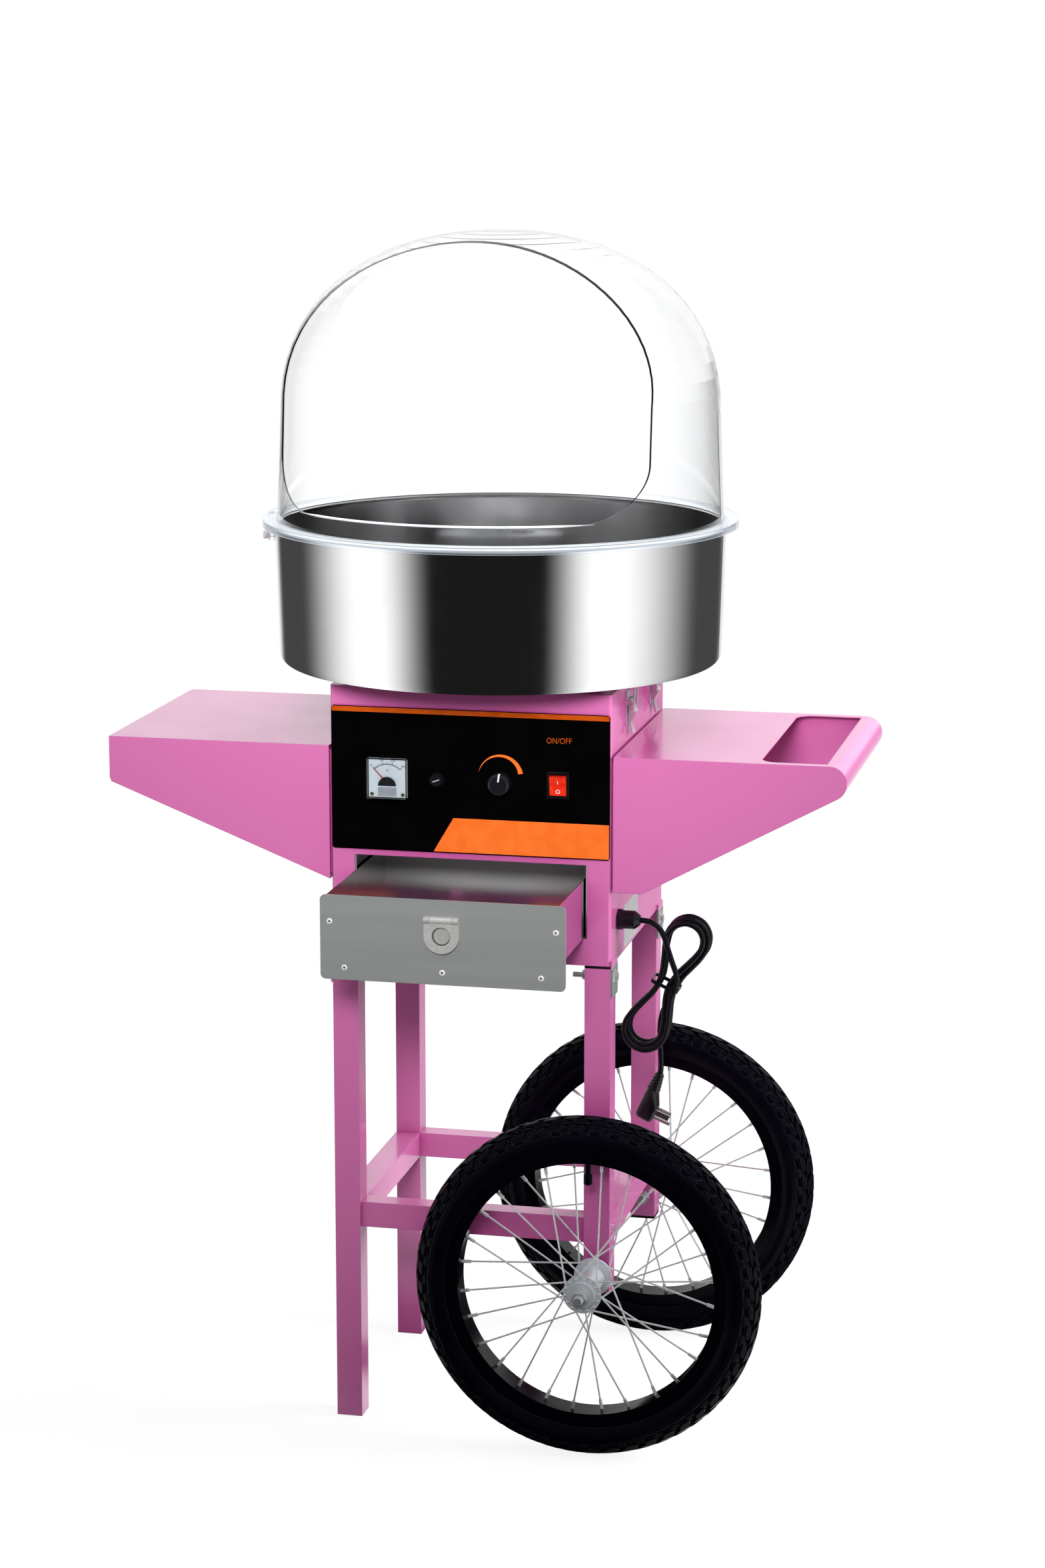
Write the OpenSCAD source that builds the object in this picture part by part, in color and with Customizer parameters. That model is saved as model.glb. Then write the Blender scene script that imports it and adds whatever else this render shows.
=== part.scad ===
// Cotton candy cart: a painted sheet metal machine on a square tube frame with two spoked wheels,
// two side shelves, a cash drawer, a spun steel bowl with a spinner head, and a clear dome.
// The bowl's axis is x = 0, y = 0 while the pieces are drawn; the front faces -y and the floor is z = 0.

/* [Frame] */
// Outside width of the square leg tube
leg_size = 30; // [24:1:36]
// Wall of the leg and stretcher tubes
tube_wall = 1.5; // [1:0.25:2.5]
// Height of the lower end of the two legs that carry the wheels
wheel_leg_end = 172; // [150:1:185]
// Height of the underside of the stretchers
stretcher_z = 232; // [222:1:300]
// Height of the stretcher tubes
stretcher_h = 30; // [20:1:40]
// Depth of the front and rear stretcher tubes
cross_depth = 25; // [18:1:30]
// Distance of the front stretcher's face behind the face of the legs
cross_setback = 5; // [2:0.5:5]
// Thickness of the head of a leg's end plug
plug_head = 3; // [2:0.5:5]
// Radius of the bolts that hold the legs to the housing
bolt_r = 3; // [2.5:0.5:4]

/* [Housing] */
// Width of the machine housing
body_w = 325; // [310:1:360]
// Depth of the machine housing
body_d = 314; // [300:1:350]
// Height of the housing's lower edge above the floor
body_bottom = 561; // [540:1:620]
// Height of the housing
body_h = 311; // [300:1:340]
// Thickness of the housing sheet
sheet = 1.2; // [0.8:0.1:2]
// Radius of the front upright edges
body_edge_r = 4; // [2.5:0.5:8]
// Height of the plinth that carries the bowl
plinth_h = 10; // [8:0.5:14]
// Radius of that plinth
plinth_r = 120; // [100:1:140]

/* [Control panel] */
// Distance of the control panel's ends from the housing's sides
panel_inset = 1.5; // [0.5:0.5:16]
// Distance of the panel's upper edge below the housing's top
panel_drop = 23; // [13:1:38]
// Height of the panel's lower edge above the housing's lower edge
panel_rise = 123; // [120:1:130]
// Thickness of the control panel
panel_t = 1.5; // [1:0.25:3]
// Height of the row of controls above the panel's lower edge
control_rise = 84; // [70:1:100]
// Position of the voltage meter from the middle
meter_x = -94.5; // [-100:0.5:-85]
// Width and height of the meter's clear cover
meter_size = 48; // [44:1:54]
// Depth of the meter's clear cover
meter_depth = 11; // [10:0.5:14]
// Position of the fuse from the middle
fuse_x = -37.5; // [-45:0.5:-20]
// Radius of the fuse holder's flange
fuse_r = 8.25; // [7.5:0.25:10]
// Position of the heat knob from the middle
knob_x = 36; // [25:0.5:45]
// Radius of the heat knob
knob_r = 12.5; // [10:0.5:16]
// Depth of the heat knob
knob_depth = 14; // [10:0.5:20]
// Position of the power switch from the middle
switch_x = 102; // [90:0.5:115]
// Width of the switch frame
switch_w = 25.5; // [24:0.5:30]
// Height of the switch frame
switch_h = 31; // [29:0.5:36]

/* [Drawer] */
// How far the drawer stands open
drawer_open = 133; // [60:1:150]
// Distance of the front plate's sides from the housing's sides
front_inset = 23.5; // [17.5:0.5:25.5]
// Height of the drawer's front plate
front_h = 96; // [85:1:105]
// Height of the front plate's lower edge above the housing's lower edge
front_rise = 4; // [4:1:10]
// Corner radius of the front plate
front_r = 6; // [3:0.5:10]
// Thickness of the front plate
front_t = 1.5; // [1:0.25:3]
// How far the front plate reaches past the tray on each side
front_lap = 7; // [6:0.5:19]
// Height of the tray
tray_h = 67; // [50:1:70]
// Length of the tray
tray_l = 255; // [200:1:265]
// Wall of the tray
tray_wall = 1; // [0.8:0.1:2]
// Height of the tray's floor above the housing's lower edge
tray_rise = 33; // [28:1:36]
// Gap between the tray and each side of the opening in the housing
opening_gap = 3; // [2:0.5:4]
// Height of the opening in the housing
opening_h = 85; // [80:1:88]
// Width of the drawer's drop pull
pull_w = 39; // [34:1:46]
// Height of the middle of the pull above the front plate's lower edge
pull_rise = 58; // [50:1:62]

/* [Shelves] */
// Distance of the shelf tops below the housing's top
shelf_drop = 70; // [66:1:91]
// Length of each shelf from the housing to its end
shelf_l = 264; // [200:1:320]
// Shadow gap between a shelf and the housing
shelf_gap = 2; // [1:0.5:4]
// Height of the shelves' lower edge above the housing's lower edge
shelf_low_rise = 86; // [71:1:111]
// Height of the left shelf's outer end
shelf_end_h = 53; // [40:1:70]
// Radius of the rolled handle at the end of the right shelf
roll_r = 19.5; // [15:0.5:26]
// Length of the level part of the right shelf's lower edge
shelf_flat = 33; // [15:1:60]
// Width of the hand hole beside the handle
hand_w = 75; // [50:1:95]
// Inset of the hand hole from the front and rear of the shelf
hand_inset = 11; // [8:0.5:30]
// Corner radius of the hand hole
hand_r = 18; // [8:1:24]

/* [Bowl and dome] */
// Outside radius of the bowl at its rim
bowl_r = 260; // [245:1:275]
// Outside radius of the bowl's wall at the bottom
bowl_foot_r = 256; // [240:1:256]
// Height of the bowl from its bottom to the middle of its rolled rim
bowl_h = 159; // [140:1:190]
// Outside radius of the bowl's lower corner
bowl_corner_r = 13; // [8:1:35]
// Wall of the bowl
bowl_wall = 1.5; // [1:0.25:2.5]
// Radius of the rolled rim
bead_r = 4; // [3:0.25:5]
// Radius of the hole for the spinner shaft
shaft_hole_r = 14; // [12:0.5:18]
// Outside radius of the dome's flange
flange_r = 274; // [272:1:290]
// Thickness of the dome's flange
flange_t = 3; // [2:0.25:5]
// Depth of the lip under the flange
lip_h = 5; // [3:0.5:12]
// Wall of the dome
dome_wall = 2.5; // [2:0.25:4]
// Radius of the dome's wall at the flange
dome_foot_r = 257; // [253:1:262]
// Radius of the dome where its crown starts
dome_r = 252; // [240:1:256]
// Height of the dome's wall
dome_side_h = 122; // [80:1:150]
// Height of the dome's crown
crown_h = 204; // [170:1:230]
// Fullness of the crown: 2 is an ellipse, more is squarer
crown_power = 2.2; // [2:0.05:2.6]
// Height of the serving window's sill above the flange
window_sill = 20; // [10:1:30]
// Half width of the window
window_half = 217; // [180:1:222]
// Height of the window's arch
window_arch_h = 166; // [140:1:172]
// Height at which the arch starts above the flange
window_spring = 150; // [110:1:155]
// Radius of the window's lower corners
window_corner_r = 60; // [30:1:75]
// Angle by which the dome is turned on the bowl
dome_turn = -6; // [-20:1:20]

/* [Spinner] */
// Radius of the drive shaft
shaft_r = 6; // [5:0.5:8]
// Radius of the spinner head
head_r = 72; // [60:1:85]
// Height of the spinner head
head_h = 42; // [34:1:50]
// Height of the spinner head above the bowl's bottom
head_rise = 52; // [45:1:60]
// Radius of the motor
motor_r = 45; // [38:1:52]
// Length of the motor
motor_l = 100; // [90:1:110]

/* [Latches] */
// Position of the front latches along the housing's sides
latch_front_y = -63; // [-110:1:-45]
// Position of the rear latches along the housing's sides
latch_rear_y = 80; // [40:1:110]
// Width of a latch lever
lever_w = 14; // [12:0.5:18]
// Radius of a latch's wire bail
wire_r = 1.25; // [1:0.05:1.5]

/* [Wheels] */
// Outside radius of the tyre
wheel_r = 200; // [190:1:205]
// Radius of the tyre's section
tyre_r = 23.5; // [20:0.5:26]
// Thickness of the tyre's casing
tyre_wall = 3.5; // [2.5:0.25:5]
// Inside radius of the rim
rim_in_r = 148.5; // [140:0.5:150]
// Radius of the rim's flanges
rim_out_r = 163; // [158:0.5:164]
// Half width of the rim
rim_half = 16; // [13:0.5:18]
// Distance from the leg's face to the middle plane of the wheel
wheel_gap = 50; // [46:1:70]
// Spokes in one wheel
spoke_count = 28; // [20:4:36]
// Radius of a spoke
spoke_r = 1; // [0.8:0.1:1.4]
// Radius of the hub flanges
hub_flange_r = 22; // [20:0.5:28]
// Half distance between the hub flanges
hub_half = 31; // [24:0.5:34]
// Radius of the axle
axle_r = 5; // [4:0.5:6]

/* [Mains lead] */
// Radius of the mains lead
cord_r = 3.25; // [3:0.05:3.25]
// Position of the cable gland along the right side
gland_y = -116; // [-125:1:-100]
// Height of the cable gland above the housing's lower edge
gland_rise = 46; // [40:1:60]
// Loops in the tied hank
hank_turns = 4; // [2:2:4]

/* [Hidden] */
$fn = 72;
pink = [0.86, 0.47, 0.70];
steel = [0.80, 0.80, 0.81];
black = [0.06, 0.06, 0.07];
clear = [0.85, 0.92, 0.96, 0.35];

// Clearances: a running fit, a loose hole, and a seat between pieces that lift apart
run_fit = 0.06;
hole_fit = 0.1;
seat = 0.3;

half_w = body_w / 2;
half_d = body_d / 2;
body_top = body_bottom + body_h;
leg_x = half_w - leg_size / 2;
leg_y = half_d - leg_size / 2;
cross_y = half_d - cross_setback - cross_depth / 2;
stretcher_mid_z = stretcher_z + stretcher_h / 2;

// Brackets that join the housing to the legs, and the bolts through them
bracket_t = 2;
bracket_up = 6;
bracket_down = 36;
bracket_bolt_drop = 14.5;
bracket_bolt_z = body_bottom - bracket_bolt_drop;
bolt_head_r = 5.5;
bolt_head_h = 3.5;
bolt_tail = 16;
nut_r = 5.8;
nut_h = 5;
screw_r = 2.4;
screw_head_r = 4.6;
screw_head_h = 2.6;
stretcher_screw_l = 38;

// Rear cover
cover_flange = 15;
cover_screw_inset = 8;
louvre_w = 90;
louvre_h = 4;
louvre_pitch = 12;
louvre_rows = 8;
louvre_in = 14;
louvre_rise = 24;

// Control panel
panel_w = body_w - 2 * panel_inset;
panel_h = body_h - panel_rise - panel_drop;
panel_z = body_bottom + panel_rise;
control_z = panel_z + control_rise;
panel_y = -half_d - panel_t;
wall_y = -half_d + sheet;
cover_wall = 1.5;
meter_base = 3;
dial_t = 0.8;
needle_t = 0.6;
needle_l = 24;
needle_rest = -43;
needle_pin_r = 0.8;
meter_pivot_drop = 5.5;
meter_barrel_r = 18;
meter_barrel_l = 30;
fuse_body_r = 6;
fuse_body_l = 36;
fuse_flange_t = 3;
fuse_cap_r = 6;
fuse_cap_h = 4;
fuse_stem_r = 3.4;
pot_r = 8.5;
pot_l = 17;
pot_bush_r = 4.2;
pot_bush_out = 2;
knob_shaft_r = 3;
knob_shaft_l = 16;
switch_flange_t = 2;
switch_wall = 1.6;
switch_rim = 3;
switch_body_l = 24;
rocker_w = switch_w - 2 * switch_rim - 0.5;
rocker_half = (switch_h - 2 * switch_rim) / 2 - 1.4;
rocker_tilt = 11;
rocker_pin_r = 1.2;
rocker_proud = 4;

// Heat regulator's board: posts, a heat sink, a capacitor and a terminal block
board_y = 60;
board_w = 90;
board_d = 56;
board_t = 1.6;
board_rise = 6;
post_r = 3;
post_edge = [7, 6];
sink_size = [30, 28, 24];
sink_edge = 5;
capacitor_r = 8;
capacitor_h = 20;
capacitor_at = [10, -12];
block_size = [16, 24, 10];
block_at = [24, 0];

// Drawer
front_w = body_w - 2 * front_inset;
tray_w = front_w - 2 * front_lap;
opening_w = tray_w + 2 * opening_gap;
front_z = body_bottom + front_rise;
tray_z = body_bottom + tray_rise;
opening_z = tray_z - 2;
drawer_y = -half_d - drawer_open;
front_y = drawer_y - front_t;
flange_drop = 20;
bay_wall = 1.2;
bay_half = tray_w / 2 + 1.5;
bay_l = tray_l + 15;
bay_top = opening_z + opening_h + 8;
front_screw_r = 3.5;
front_screw_h = 1.5;
front_screw_x = tray_w / 2 - 4;
front_screw_z = 66;
low_screw_x = tray_w / 2 - 20.5;
low_screw_z = 14;
front_screws = [[-front_screw_x, front_screw_z], [front_screw_x, front_screw_z], [-low_screw_x, low_screw_z],
                [0, low_screw_z], [low_screw_x, low_screw_z]];

// Drop pull on the drawer
pull_base_t = 2;
pull_lift = 0.4;
pull_t = 3;
pull_axis = 3.5;
pull_barrel_r = 3.2;
pull_pin_r = 1.5;
pull_neck = 25;
pull_hole_r = 10.5;
pull_z = front_z + pull_rise;
pull_hinge_z = pull_z + pull_w / 2 - pull_barrel_r;
pull_reach = pull_base_t + pull_axis + pull_barrel_r;

// Shelves
shelf_z = body_top - shelf_drop;
shelf_low_z = body_bottom + shelf_low_rise;
shelf_root_h = shelf_z - shelf_low_z;
shelf_in = half_w + shelf_gap;
shelf_out = half_w + shelf_l;
pad_inset = 6;
roll_x = shelf_out - roll_r;
roll_z = shelf_z - roll_r;
roll_strip = 4;
flat_x = shelf_in + shelf_flat;
roll_far = norm([roll_x - flat_x, roll_z - shelf_low_z]);
roll_touch = atan2(roll_z - shelf_low_z, roll_x - flat_x) - asin(roll_r / roll_far) - 90;
shelf_screw_y = 90;

// Bowl, dome and spinner
bowl_z = body_top + plinth_h;
bead_z = bowl_z + bowl_h;
flange_z = bead_z + bead_r + seat;
dome_z = flange_z + flange_t;
crown_z = dome_z + dome_side_h;
lip_t = 2.5;
collar_h = 26;
collar_t = 1.5;
clamp_w = 18;
clamp_t = 6;
clamp_h = 30;
clamp_in = bowl_r + bead_r + 0.8;
clamp_angles = [185, 40];
clamp_screw_r = 2.5;
clamp_knob_r = 4.5;
clamp_knob_h = 7;
head_z = bowl_z + head_rise;
head_wall = 2;
head_lid_r = 42;
hub_r = 12;
heater_gap = 5;
heater_t = 5;
motor_flange_t = 4;
motor_flange_r = motor_r + 12;
motor_top = bowl_z - sheet;
shaft_in = 60;
shaft_top = head_z + head_h + 6;

// Latches, measured from the housing's side and down from its top edge
latch_ys = [latch_front_y, latch_rear_y];
plate_t = 1.2;
pivot_x = 4;
pivot_drop = 22;
bail_x = 8;
bail_drop = 34;
barrel_r = 2.4;
latch_pin_r = 1.5;
leg_gap = 0.5;
bail_y = lever_w / 2 + leg_gap + wire_r;
ear_in = bail_y + wire_r + leg_gap;
ear_t = 1.5;
hook_x = 4.5;
hook_reach = 9;
bar_x = 9.5;
bar_rise = plate_t + wire_r + seat;
latch_plate_w = 2 * (ear_in + ear_t + 1);
latch_plate_drop = 50;
latch_plate_h = 40;

// Wheels
axle_z = wheel_r;
wheel_y = half_d + wheel_gap;
tyre_mid_r = wheel_r - tyre_r;
rim_t = 2.5;
rim_floor = rim_in_r + 3;
bead_half = rim_half - rim_t - 0.25;
bead_low = rim_floor + 0.25;
valve_r = 4;
valve_l = 32;
hub_r_mid = 14;
hub_flange_t = 3;
hub_end = hub_half + 6;
hub_end_r = 15;
spoke_hub_r = hub_flange_r - 3;
spoke_rim_y = 3;
spoke_side = 1.2;
nipple_r = 1.9;
nipple_l = 12;
cone_r = 8;
axle_nut_r = 9;
axle_nut_h = 8;
axle_cone_h = 7;
axle_tip = 6;
axle_reach = hub_end + seat + axle_cone_h + axle_nut_h + axle_tip;
axle_tail = 14;

// The model's origin stands under the middle of the whole footprint
front_reach = half_d + drawer_open + front_t + pull_reach;
back_reach = max(flange_r, wheel_y + axle_reach);
row_y = (front_reach - back_reach) / 2;

// Cable gland, lead, tied hank and plug
gland_nut_r = 12;
gland_nut_l = 6;
gland_body_r = 10.5;
gland_body_l = 14;
gland_nose_l = 6;
gland_thread_r = 6;
gland_thread_l = 9;
gland_z = body_bottom + gland_rise;
gland_tip = [half_w + gland_nut_l + gland_body_l + gland_nose_l, gland_y, gland_z];
tube_sides = 8;
hank_sides = 6;
hank_rings = 24;
hank_mid = gland_tip + [27.5, 18, -77];
hank_tilt = 24;
hank_half = 84;
hank_lobe = 25.5;
hank_arm = 0.63;
hank_waist = 11.5;
hank_step = 7.2;
hank_depth = hank_step * (hank_turns - 1);
lead_points = [[0, 0, 0], [10.7, 0, -1.3], [18.3, -0.3, -5.2], [24.2, -0.7, -11.1], [28.1, -1, -18.8],
               [31.4, -1.1, -29.4], [34.5, -1.1, -39], [37.4, -0.8, -47.8], [41.1, 0.8, -59],
               [42.5, 4, -68.6]];
tail_points = [[28.5, 33.5, -99], [22, 36.6, -111], [18, 37, -125], [17, 37, -141], [17.5, 36.5, -157],
               [18.5, 36, -173], [18.5, 36, -183]];
lead_route = [for (p = lead_points) gland_tip + p];
tail_route = [for (p = tail_points) gland_tip + p];
plug_top = gland_tip + [18, 36, -189];
plug_tilt = 22;
relief_l = 24;
relief_ribs = 5;
plug_l = 34;
plug_r = 11;
blade_l = 17;
blade_w = 6.3;
blade_t = 1.5;
blade_gap = 12.7;
earth_r = 2.4;
earth_l = 20;
tie_w = 4;
tie_t = 1.2;
tie_gap = 0.8;

// Shared shapes

// A bar of the given outline in x and z, from y_back forward by t
module front_bar(y_back, t) translate([0, y_back, 0]) rotate([90, 0, 0]) linear_extrude(t) children();

module rod_x(x0, x1, y, z, r, n = 72)
  translate([x0, y, z]) rotate([0, 90, 0]) cylinder(r = r, h = x1 - x0, $fn = n);

module rod_y(x, z, y0, y1, r) translate([x, y1, z]) rotate([90, 0, 0]) cylinder(r = r, h = y1 - y0);

module rod_between(a, b, r) {
  d = b - a;
  translate(a) rotate([0, acos(d.z / norm(d)), atan2(d.y, d.x)]) cylinder(r = r, h = norm(d), $fn = 24);
}

module rounded_rect(w, h, r) {
  square([w - 2 * r, h], center = true);
  square([w, h - 2 * r], center = true);
  for (x = [-1, 1], y = [-1, 1]) translate([x * (w / 2 - r), y * (h / 2 - r)]) circle(r);
}

// A flat sheet lying between two corners, from z up by t
module slab(x0, x1, y0, y1, z, t) translate([x0, y0, z]) cube([x1 - x0, y1 - y0, t]);

// Square tube along z, hollow
module tube_z(x, y, z0, z1, w) translate([x - w / 2, y - w / 2, z0]) difference() {
  cube([w, w, z1 - z0]);
  translate([tube_wall, tube_wall, -1]) cube([w - 2 * tube_wall, w - 2 * tube_wall, z1 - z0 + 2]);
}

// Sweeps a round tube along points; the first side of each ring faces +y
function unit(v) = v / norm(v);
function along(p, i) = unit(p[min(i + 1, len(p) - 1)] - p[max(i - 1, 0)]);
function ring_side(t) = unit([0, 1, 0] - t * t.y);
function ring(c, t, r, n) = let(a = ring_side(t), b = cross(t, a))
  [for (k = [0 : n - 1]) c + r * (cos(360 * k / n) * a + sin(360 * k / n) * b)];
function tube_points(p, r, n) = [for (i = [0 : len(p) - 1], q = ring(p[i], along(p, i), r, n)) q];
function tube_faces(m, n) = concat(
  [for (k = [1 : n - 2]) [0, k, k + 1]],
  [for (i = [0 : m - 2], k = [0 : n - 1]) let(j = (k + 1) % n)
    [n * i + k, n * (i + 1) + k, n * i + j]],
  [for (i = [0 : m - 2], k = [0 : n - 1]) let(j = (k + 1) % n)
    [n * i + j, n * (i + 1) + k, n * (i + 1) + j]],
  [for (k = [1 : n - 2]) [n * (m - 1), n * (m - 1) + k + 1, n * (m - 1) + k]]);
module tube(p, r, n) polyhedron(tube_points(p, r, n), tube_faces(len(p), n));

// Frame

module leg(sx, sy, z0) color(pink) difference() {
  tube_z(sx * leg_x, sy * leg_y, z0, body_bottom - plug_head, leg_size);
  rod_x(sx * leg_x - leg_size, sx * leg_x + leg_size, sy * leg_y, bracket_bolt_z, bolt_r + hole_fit);
  rod_x(sx * leg_x - leg_size, sx * leg_x + leg_size, sy * cross_y, stretcher_mid_z, screw_r + hole_fit);
  if (sx > 0)
    rod_y(leg_x, axle_z, sy * leg_y - leg_size, sy * leg_y + leg_size, axle_r + hole_fit);
}

module front_left_leg() leg(-1, -1, 0);
module rear_left_leg() leg(-1, 1, 0);
module front_right_leg() leg(1, -1, wheel_leg_end + plug_head);
module rear_right_leg() leg(1, 1, wheel_leg_end + plug_head);

module stretchers() color(pink) {
  span_x = half_w - leg_size;
  span_y = half_d - leg_size;
  for (s = [-1, 1]) {
    translate([-span_x, s * cross_y, stretcher_mid_z]) rotate([0, 90, 0])
      rect_tube(stretcher_h, cross_depth, 2 * span_x);
    translate([s * leg_x, span_y, stretcher_mid_z]) rotate([90, 0, 0])
      rect_tube(leg_size, stretcher_h, 2 * span_y);
  }
}

module rect_tube(a, b, l) linear_extrude(l) difference() {
  square([a, b], center = true);
  square([a - 2 * tube_wall, b - 2 * tube_wall], center = true);
}

// A plug's head has the tube's outside size, and its stem fits inside; the feet's plugs are flush
plug_stem = leg_size - 2 * tube_wall - 0.2;
plug_stem_l = 8;

module leg_plug() {
  translate([0, 0, plug_head / 2]) cube([leg_size, leg_size, plug_head], center = true);
  translate([0, 0, plug_head + plug_stem_l / 2]) cube([plug_stem, plug_stem, plug_stem_l], center = true);
}

module leg_plugs() color(black) for (sx = [-1, 1], sy = [-1, 1]) translate([sx * leg_x, sy * leg_y, 0]) {
  if (sx > 0)
    translate([0, 0, wheel_leg_end]) leg_plug();
  else
    translate([0, 0, plug_stem_l / 2]) cube([plug_stem, plug_stem, plug_stem_l], center = true);
  translate([0, 0, body_bottom]) mirror([0, 0, 1]) leg_plug();
}

module frame_screws() color(steel) for (sx = [-1, 1], sy = [-1, 1]) {
  mirror([sx < 0 ? 1 : 0, 0, 0]) {
    tab_x = half_w + bracket_t;
    in_x = half_w - leg_size;
    rod_x(tab_x, tab_x + bolt_head_h, sy * leg_y, bracket_bolt_z, bolt_head_r);
    rod_x(in_x - bolt_tail, tab_x, sy * leg_y, bracket_bolt_z, bolt_r);
    rod_x(in_x - nut_h, in_x, sy * leg_y, bracket_bolt_z, nut_r, 6);
    rod_x(half_w, half_w + screw_head_h, sy * cross_y, stretcher_mid_z, screw_head_r);
    rod_x(half_w - stretcher_screw_l, half_w, sy * cross_y, stretcher_mid_z, screw_r);
    shelf_wall_x = shelf_in + sheet;
    rod_x(shelf_wall_x, shelf_wall_x + screw_head_h, sy * shelf_screw_y, shelf_mid_z, screw_head_r);
    rod_x(half_w - 2 * sheet, shelf_wall_x, sy * shelf_screw_y, shelf_mid_z, screw_r);
    cover_z = sy > 0 ? body_top - cover_screw_inset : body_bottom + cover_screw_inset;
    rod_y(half_w - cover_screw_inset, cover_z, half_d, half_d + screw_head_h, screw_head_r);
    rod_y(half_w - cover_screw_inset, cover_z, half_d - 3 * sheet, half_d, screw_r);
  }
}
shelf_mid_z = shelf_z - shelf_root_h / 2;

// Housing

module wall_outline() intersection() {
  translate([0, -sheet / 2]) square([body_w, body_d - sheet], center = true);
  union() {
    translate([0, body_edge_r]) square([body_w, body_d], center = true);
    translate([0, -half_d / 2]) square([body_w - 2 * body_edge_r, half_d], center = true);
    for (s = [-1, 1]) translate([s * (half_w - body_edge_r), body_edge_r - half_d]) circle(body_edge_r);
  }
}

module switch_hole(fit) {
  inset = 2 * (switch_wall - fit);
  square([switch_w - inset, switch_h - inset], center = true);
}

// Holes for the controls, shared by the control panel and the wall behind it
module control_holes() translate([0, control_z]) {
  translate([meter_x, 0]) circle(meter_barrel_r + hole_fit);
  translate([fuse_x, 0]) circle(fuse_body_r + hole_fit);
  translate([knob_x, 0]) circle(pot_bush_r + hole_fit);
  translate([switch_x, 0]) switch_hole(hole_fit);
}

module housing() color(pink) difference() {
  union() {
    translate([0, 0, body_bottom]) linear_extrude(body_h) difference() {
      wall_outline();
      translate([0, -sheet / 2]) square([body_w - 2 * sheet, body_d - 3 * sheet], center = true);
      translate([0, half_d]) square([body_w - 2 * cover_flange, 6 * sheet], center = true);
    }
    for (sx = [-1, 1], sy = [-1, 1])
      translate([sx * (half_w + bracket_t / 2), sy * leg_y, body_bottom + (bracket_up - bracket_down) / 2])
        cube([bracket_t, leg_size, bracket_up + bracket_down], center = true);
    for (sx = [-1, 1], sy = [-1, 1]) translate([sx * half_w, sy * leg_y, body_bottom + bracket_up / 2])
      cube([sheet, leg_size - 2 * body_edge_r, bracket_up], center = true);
  }
  front_bar(wall_y + 1, sheet + 2) {
    control_holes();
    translate([-opening_w / 2, opening_z]) square([opening_w, opening_h]);
  }
  rod_x(half_w - 3 * sheet, half_w + 1, gland_y, gland_z, gland_thread_r + hole_fit);
  for (sx = [-1, 1], sy = [-1, 1]) {
    rod_x(sx * half_w - 6, sx * half_w + 6, sy * leg_y, bracket_bolt_z, bolt_r + hole_fit);
    rod_x(sx * half_w - 6, sx * half_w + 6, sy * shelf_screw_y, shelf_mid_z, screw_r + hole_fit);
    cover_z = sy > 0 ? body_top - cover_screw_inset : body_bottom + cover_screw_inset;
    rod_y(sx * (half_w - cover_screw_inset), cover_z, half_d - 4 * sheet, half_d, screw_r + hole_fit);
  }
}

module top_deck() color(pink) {
  in_x = half_w - sheet - hole_fit;
  in_y = half_d - sheet - hole_fit;
  difference() {
    union() {
      translate([0, -sheet / 2, body_top - sheet / 2])
        cube([2 * in_x, 2 * in_y - sheet, sheet], center = true);
      translate([0, 0, body_top - sheet]) cylinder(r = plinth_r, h = plinth_h + sheet);
    }
    translate([0, 0, body_top - 2 * sheet]) cylinder(r = plinth_r - sheet, h = plinth_h + sheet);
    cylinder(r = shaft_hole_r, h = 2 * bowl_z);
  }
}

module rear_cover() color(pink) difference() {
  translate([0, half_d - sheet / 2, body_bottom + body_h / 2]) cube([body_w, sheet, body_h], center = true);
  for (sx = [-1, 1], top = [0, 1])
    rod_y(sx * (half_w - cover_screw_inset),
          top == 1 ? body_top - cover_screw_inset : body_bottom + cover_screw_inset,
          half_d - 2 * sheet, half_d + 1, screw_r + hole_fit);
  front_bar(half_d + 1, sheet + 2) for (sx = [-1, 1], i = [0 : louvre_rows - 1])
    translate([sx * (louvre_w / 2 + louvre_in), panel_z + louvre_rise + i * louvre_pitch])
      rounded_rect(louvre_w, louvre_h, louvre_h / 2 - 0.01);
}

// A floor that the tray slides on, two side walls, a roof under the electrics and the bottom sheet
module drawer_bay() color(steel) {
  in_x = half_w - sheet - hole_fit;
  y0 = wall_y + hole_fit;
  y1 = y0 + bay_l;
  runner_z = tray_z - seat;
  back = half_d - 2 * sheet - hole_fit;
  slab(-in_x, in_x, y0, back, body_bottom, bay_wall);
  slab(-in_x, in_x, y0, y1, bay_top, bay_wall);
  slab(-bay_half, bay_half, y0, y1, runner_z - bay_wall, bay_wall);
  for (s = [-1, 1]) slab(s > 0 ? bay_half : -bay_half - bay_wall, s > 0 ? bay_half + bay_wall : -bay_half,
                         y0, y1, body_bottom, bay_top + bay_wall - body_bottom);
}

// Control panel and its controls

module control_panel() color(black) front_bar(-half_d, panel_t) difference() {
  translate([0, panel_z + panel_h / 2]) rounded_rect(panel_w, panel_h, 3);
  control_holes();
}

module meter_case() translate([meter_x, 0, control_z]) {
  base = meter_size - 2 * cover_wall - 0.4;
  color(black) difference() {
    union() {
      front_bar(panel_y, meter_base) square(base, center = true);
      rod_y(0, 0, panel_y, panel_y + meter_barrel_l, meter_barrel_r);
    }
    base_y = panel_y - meter_base;
    rod_y(0, -meter_pivot_drop, base_y - 1, base_y + 2.5, needle_pin_r + run_fit);
  }
  color("white") front_bar(panel_y - meter_base, dial_t) difference() {
    square(base - 1, center = true);
    translate([0, -meter_pivot_drop]) circle(needle_pin_r + run_fit);
  }
}

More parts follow.
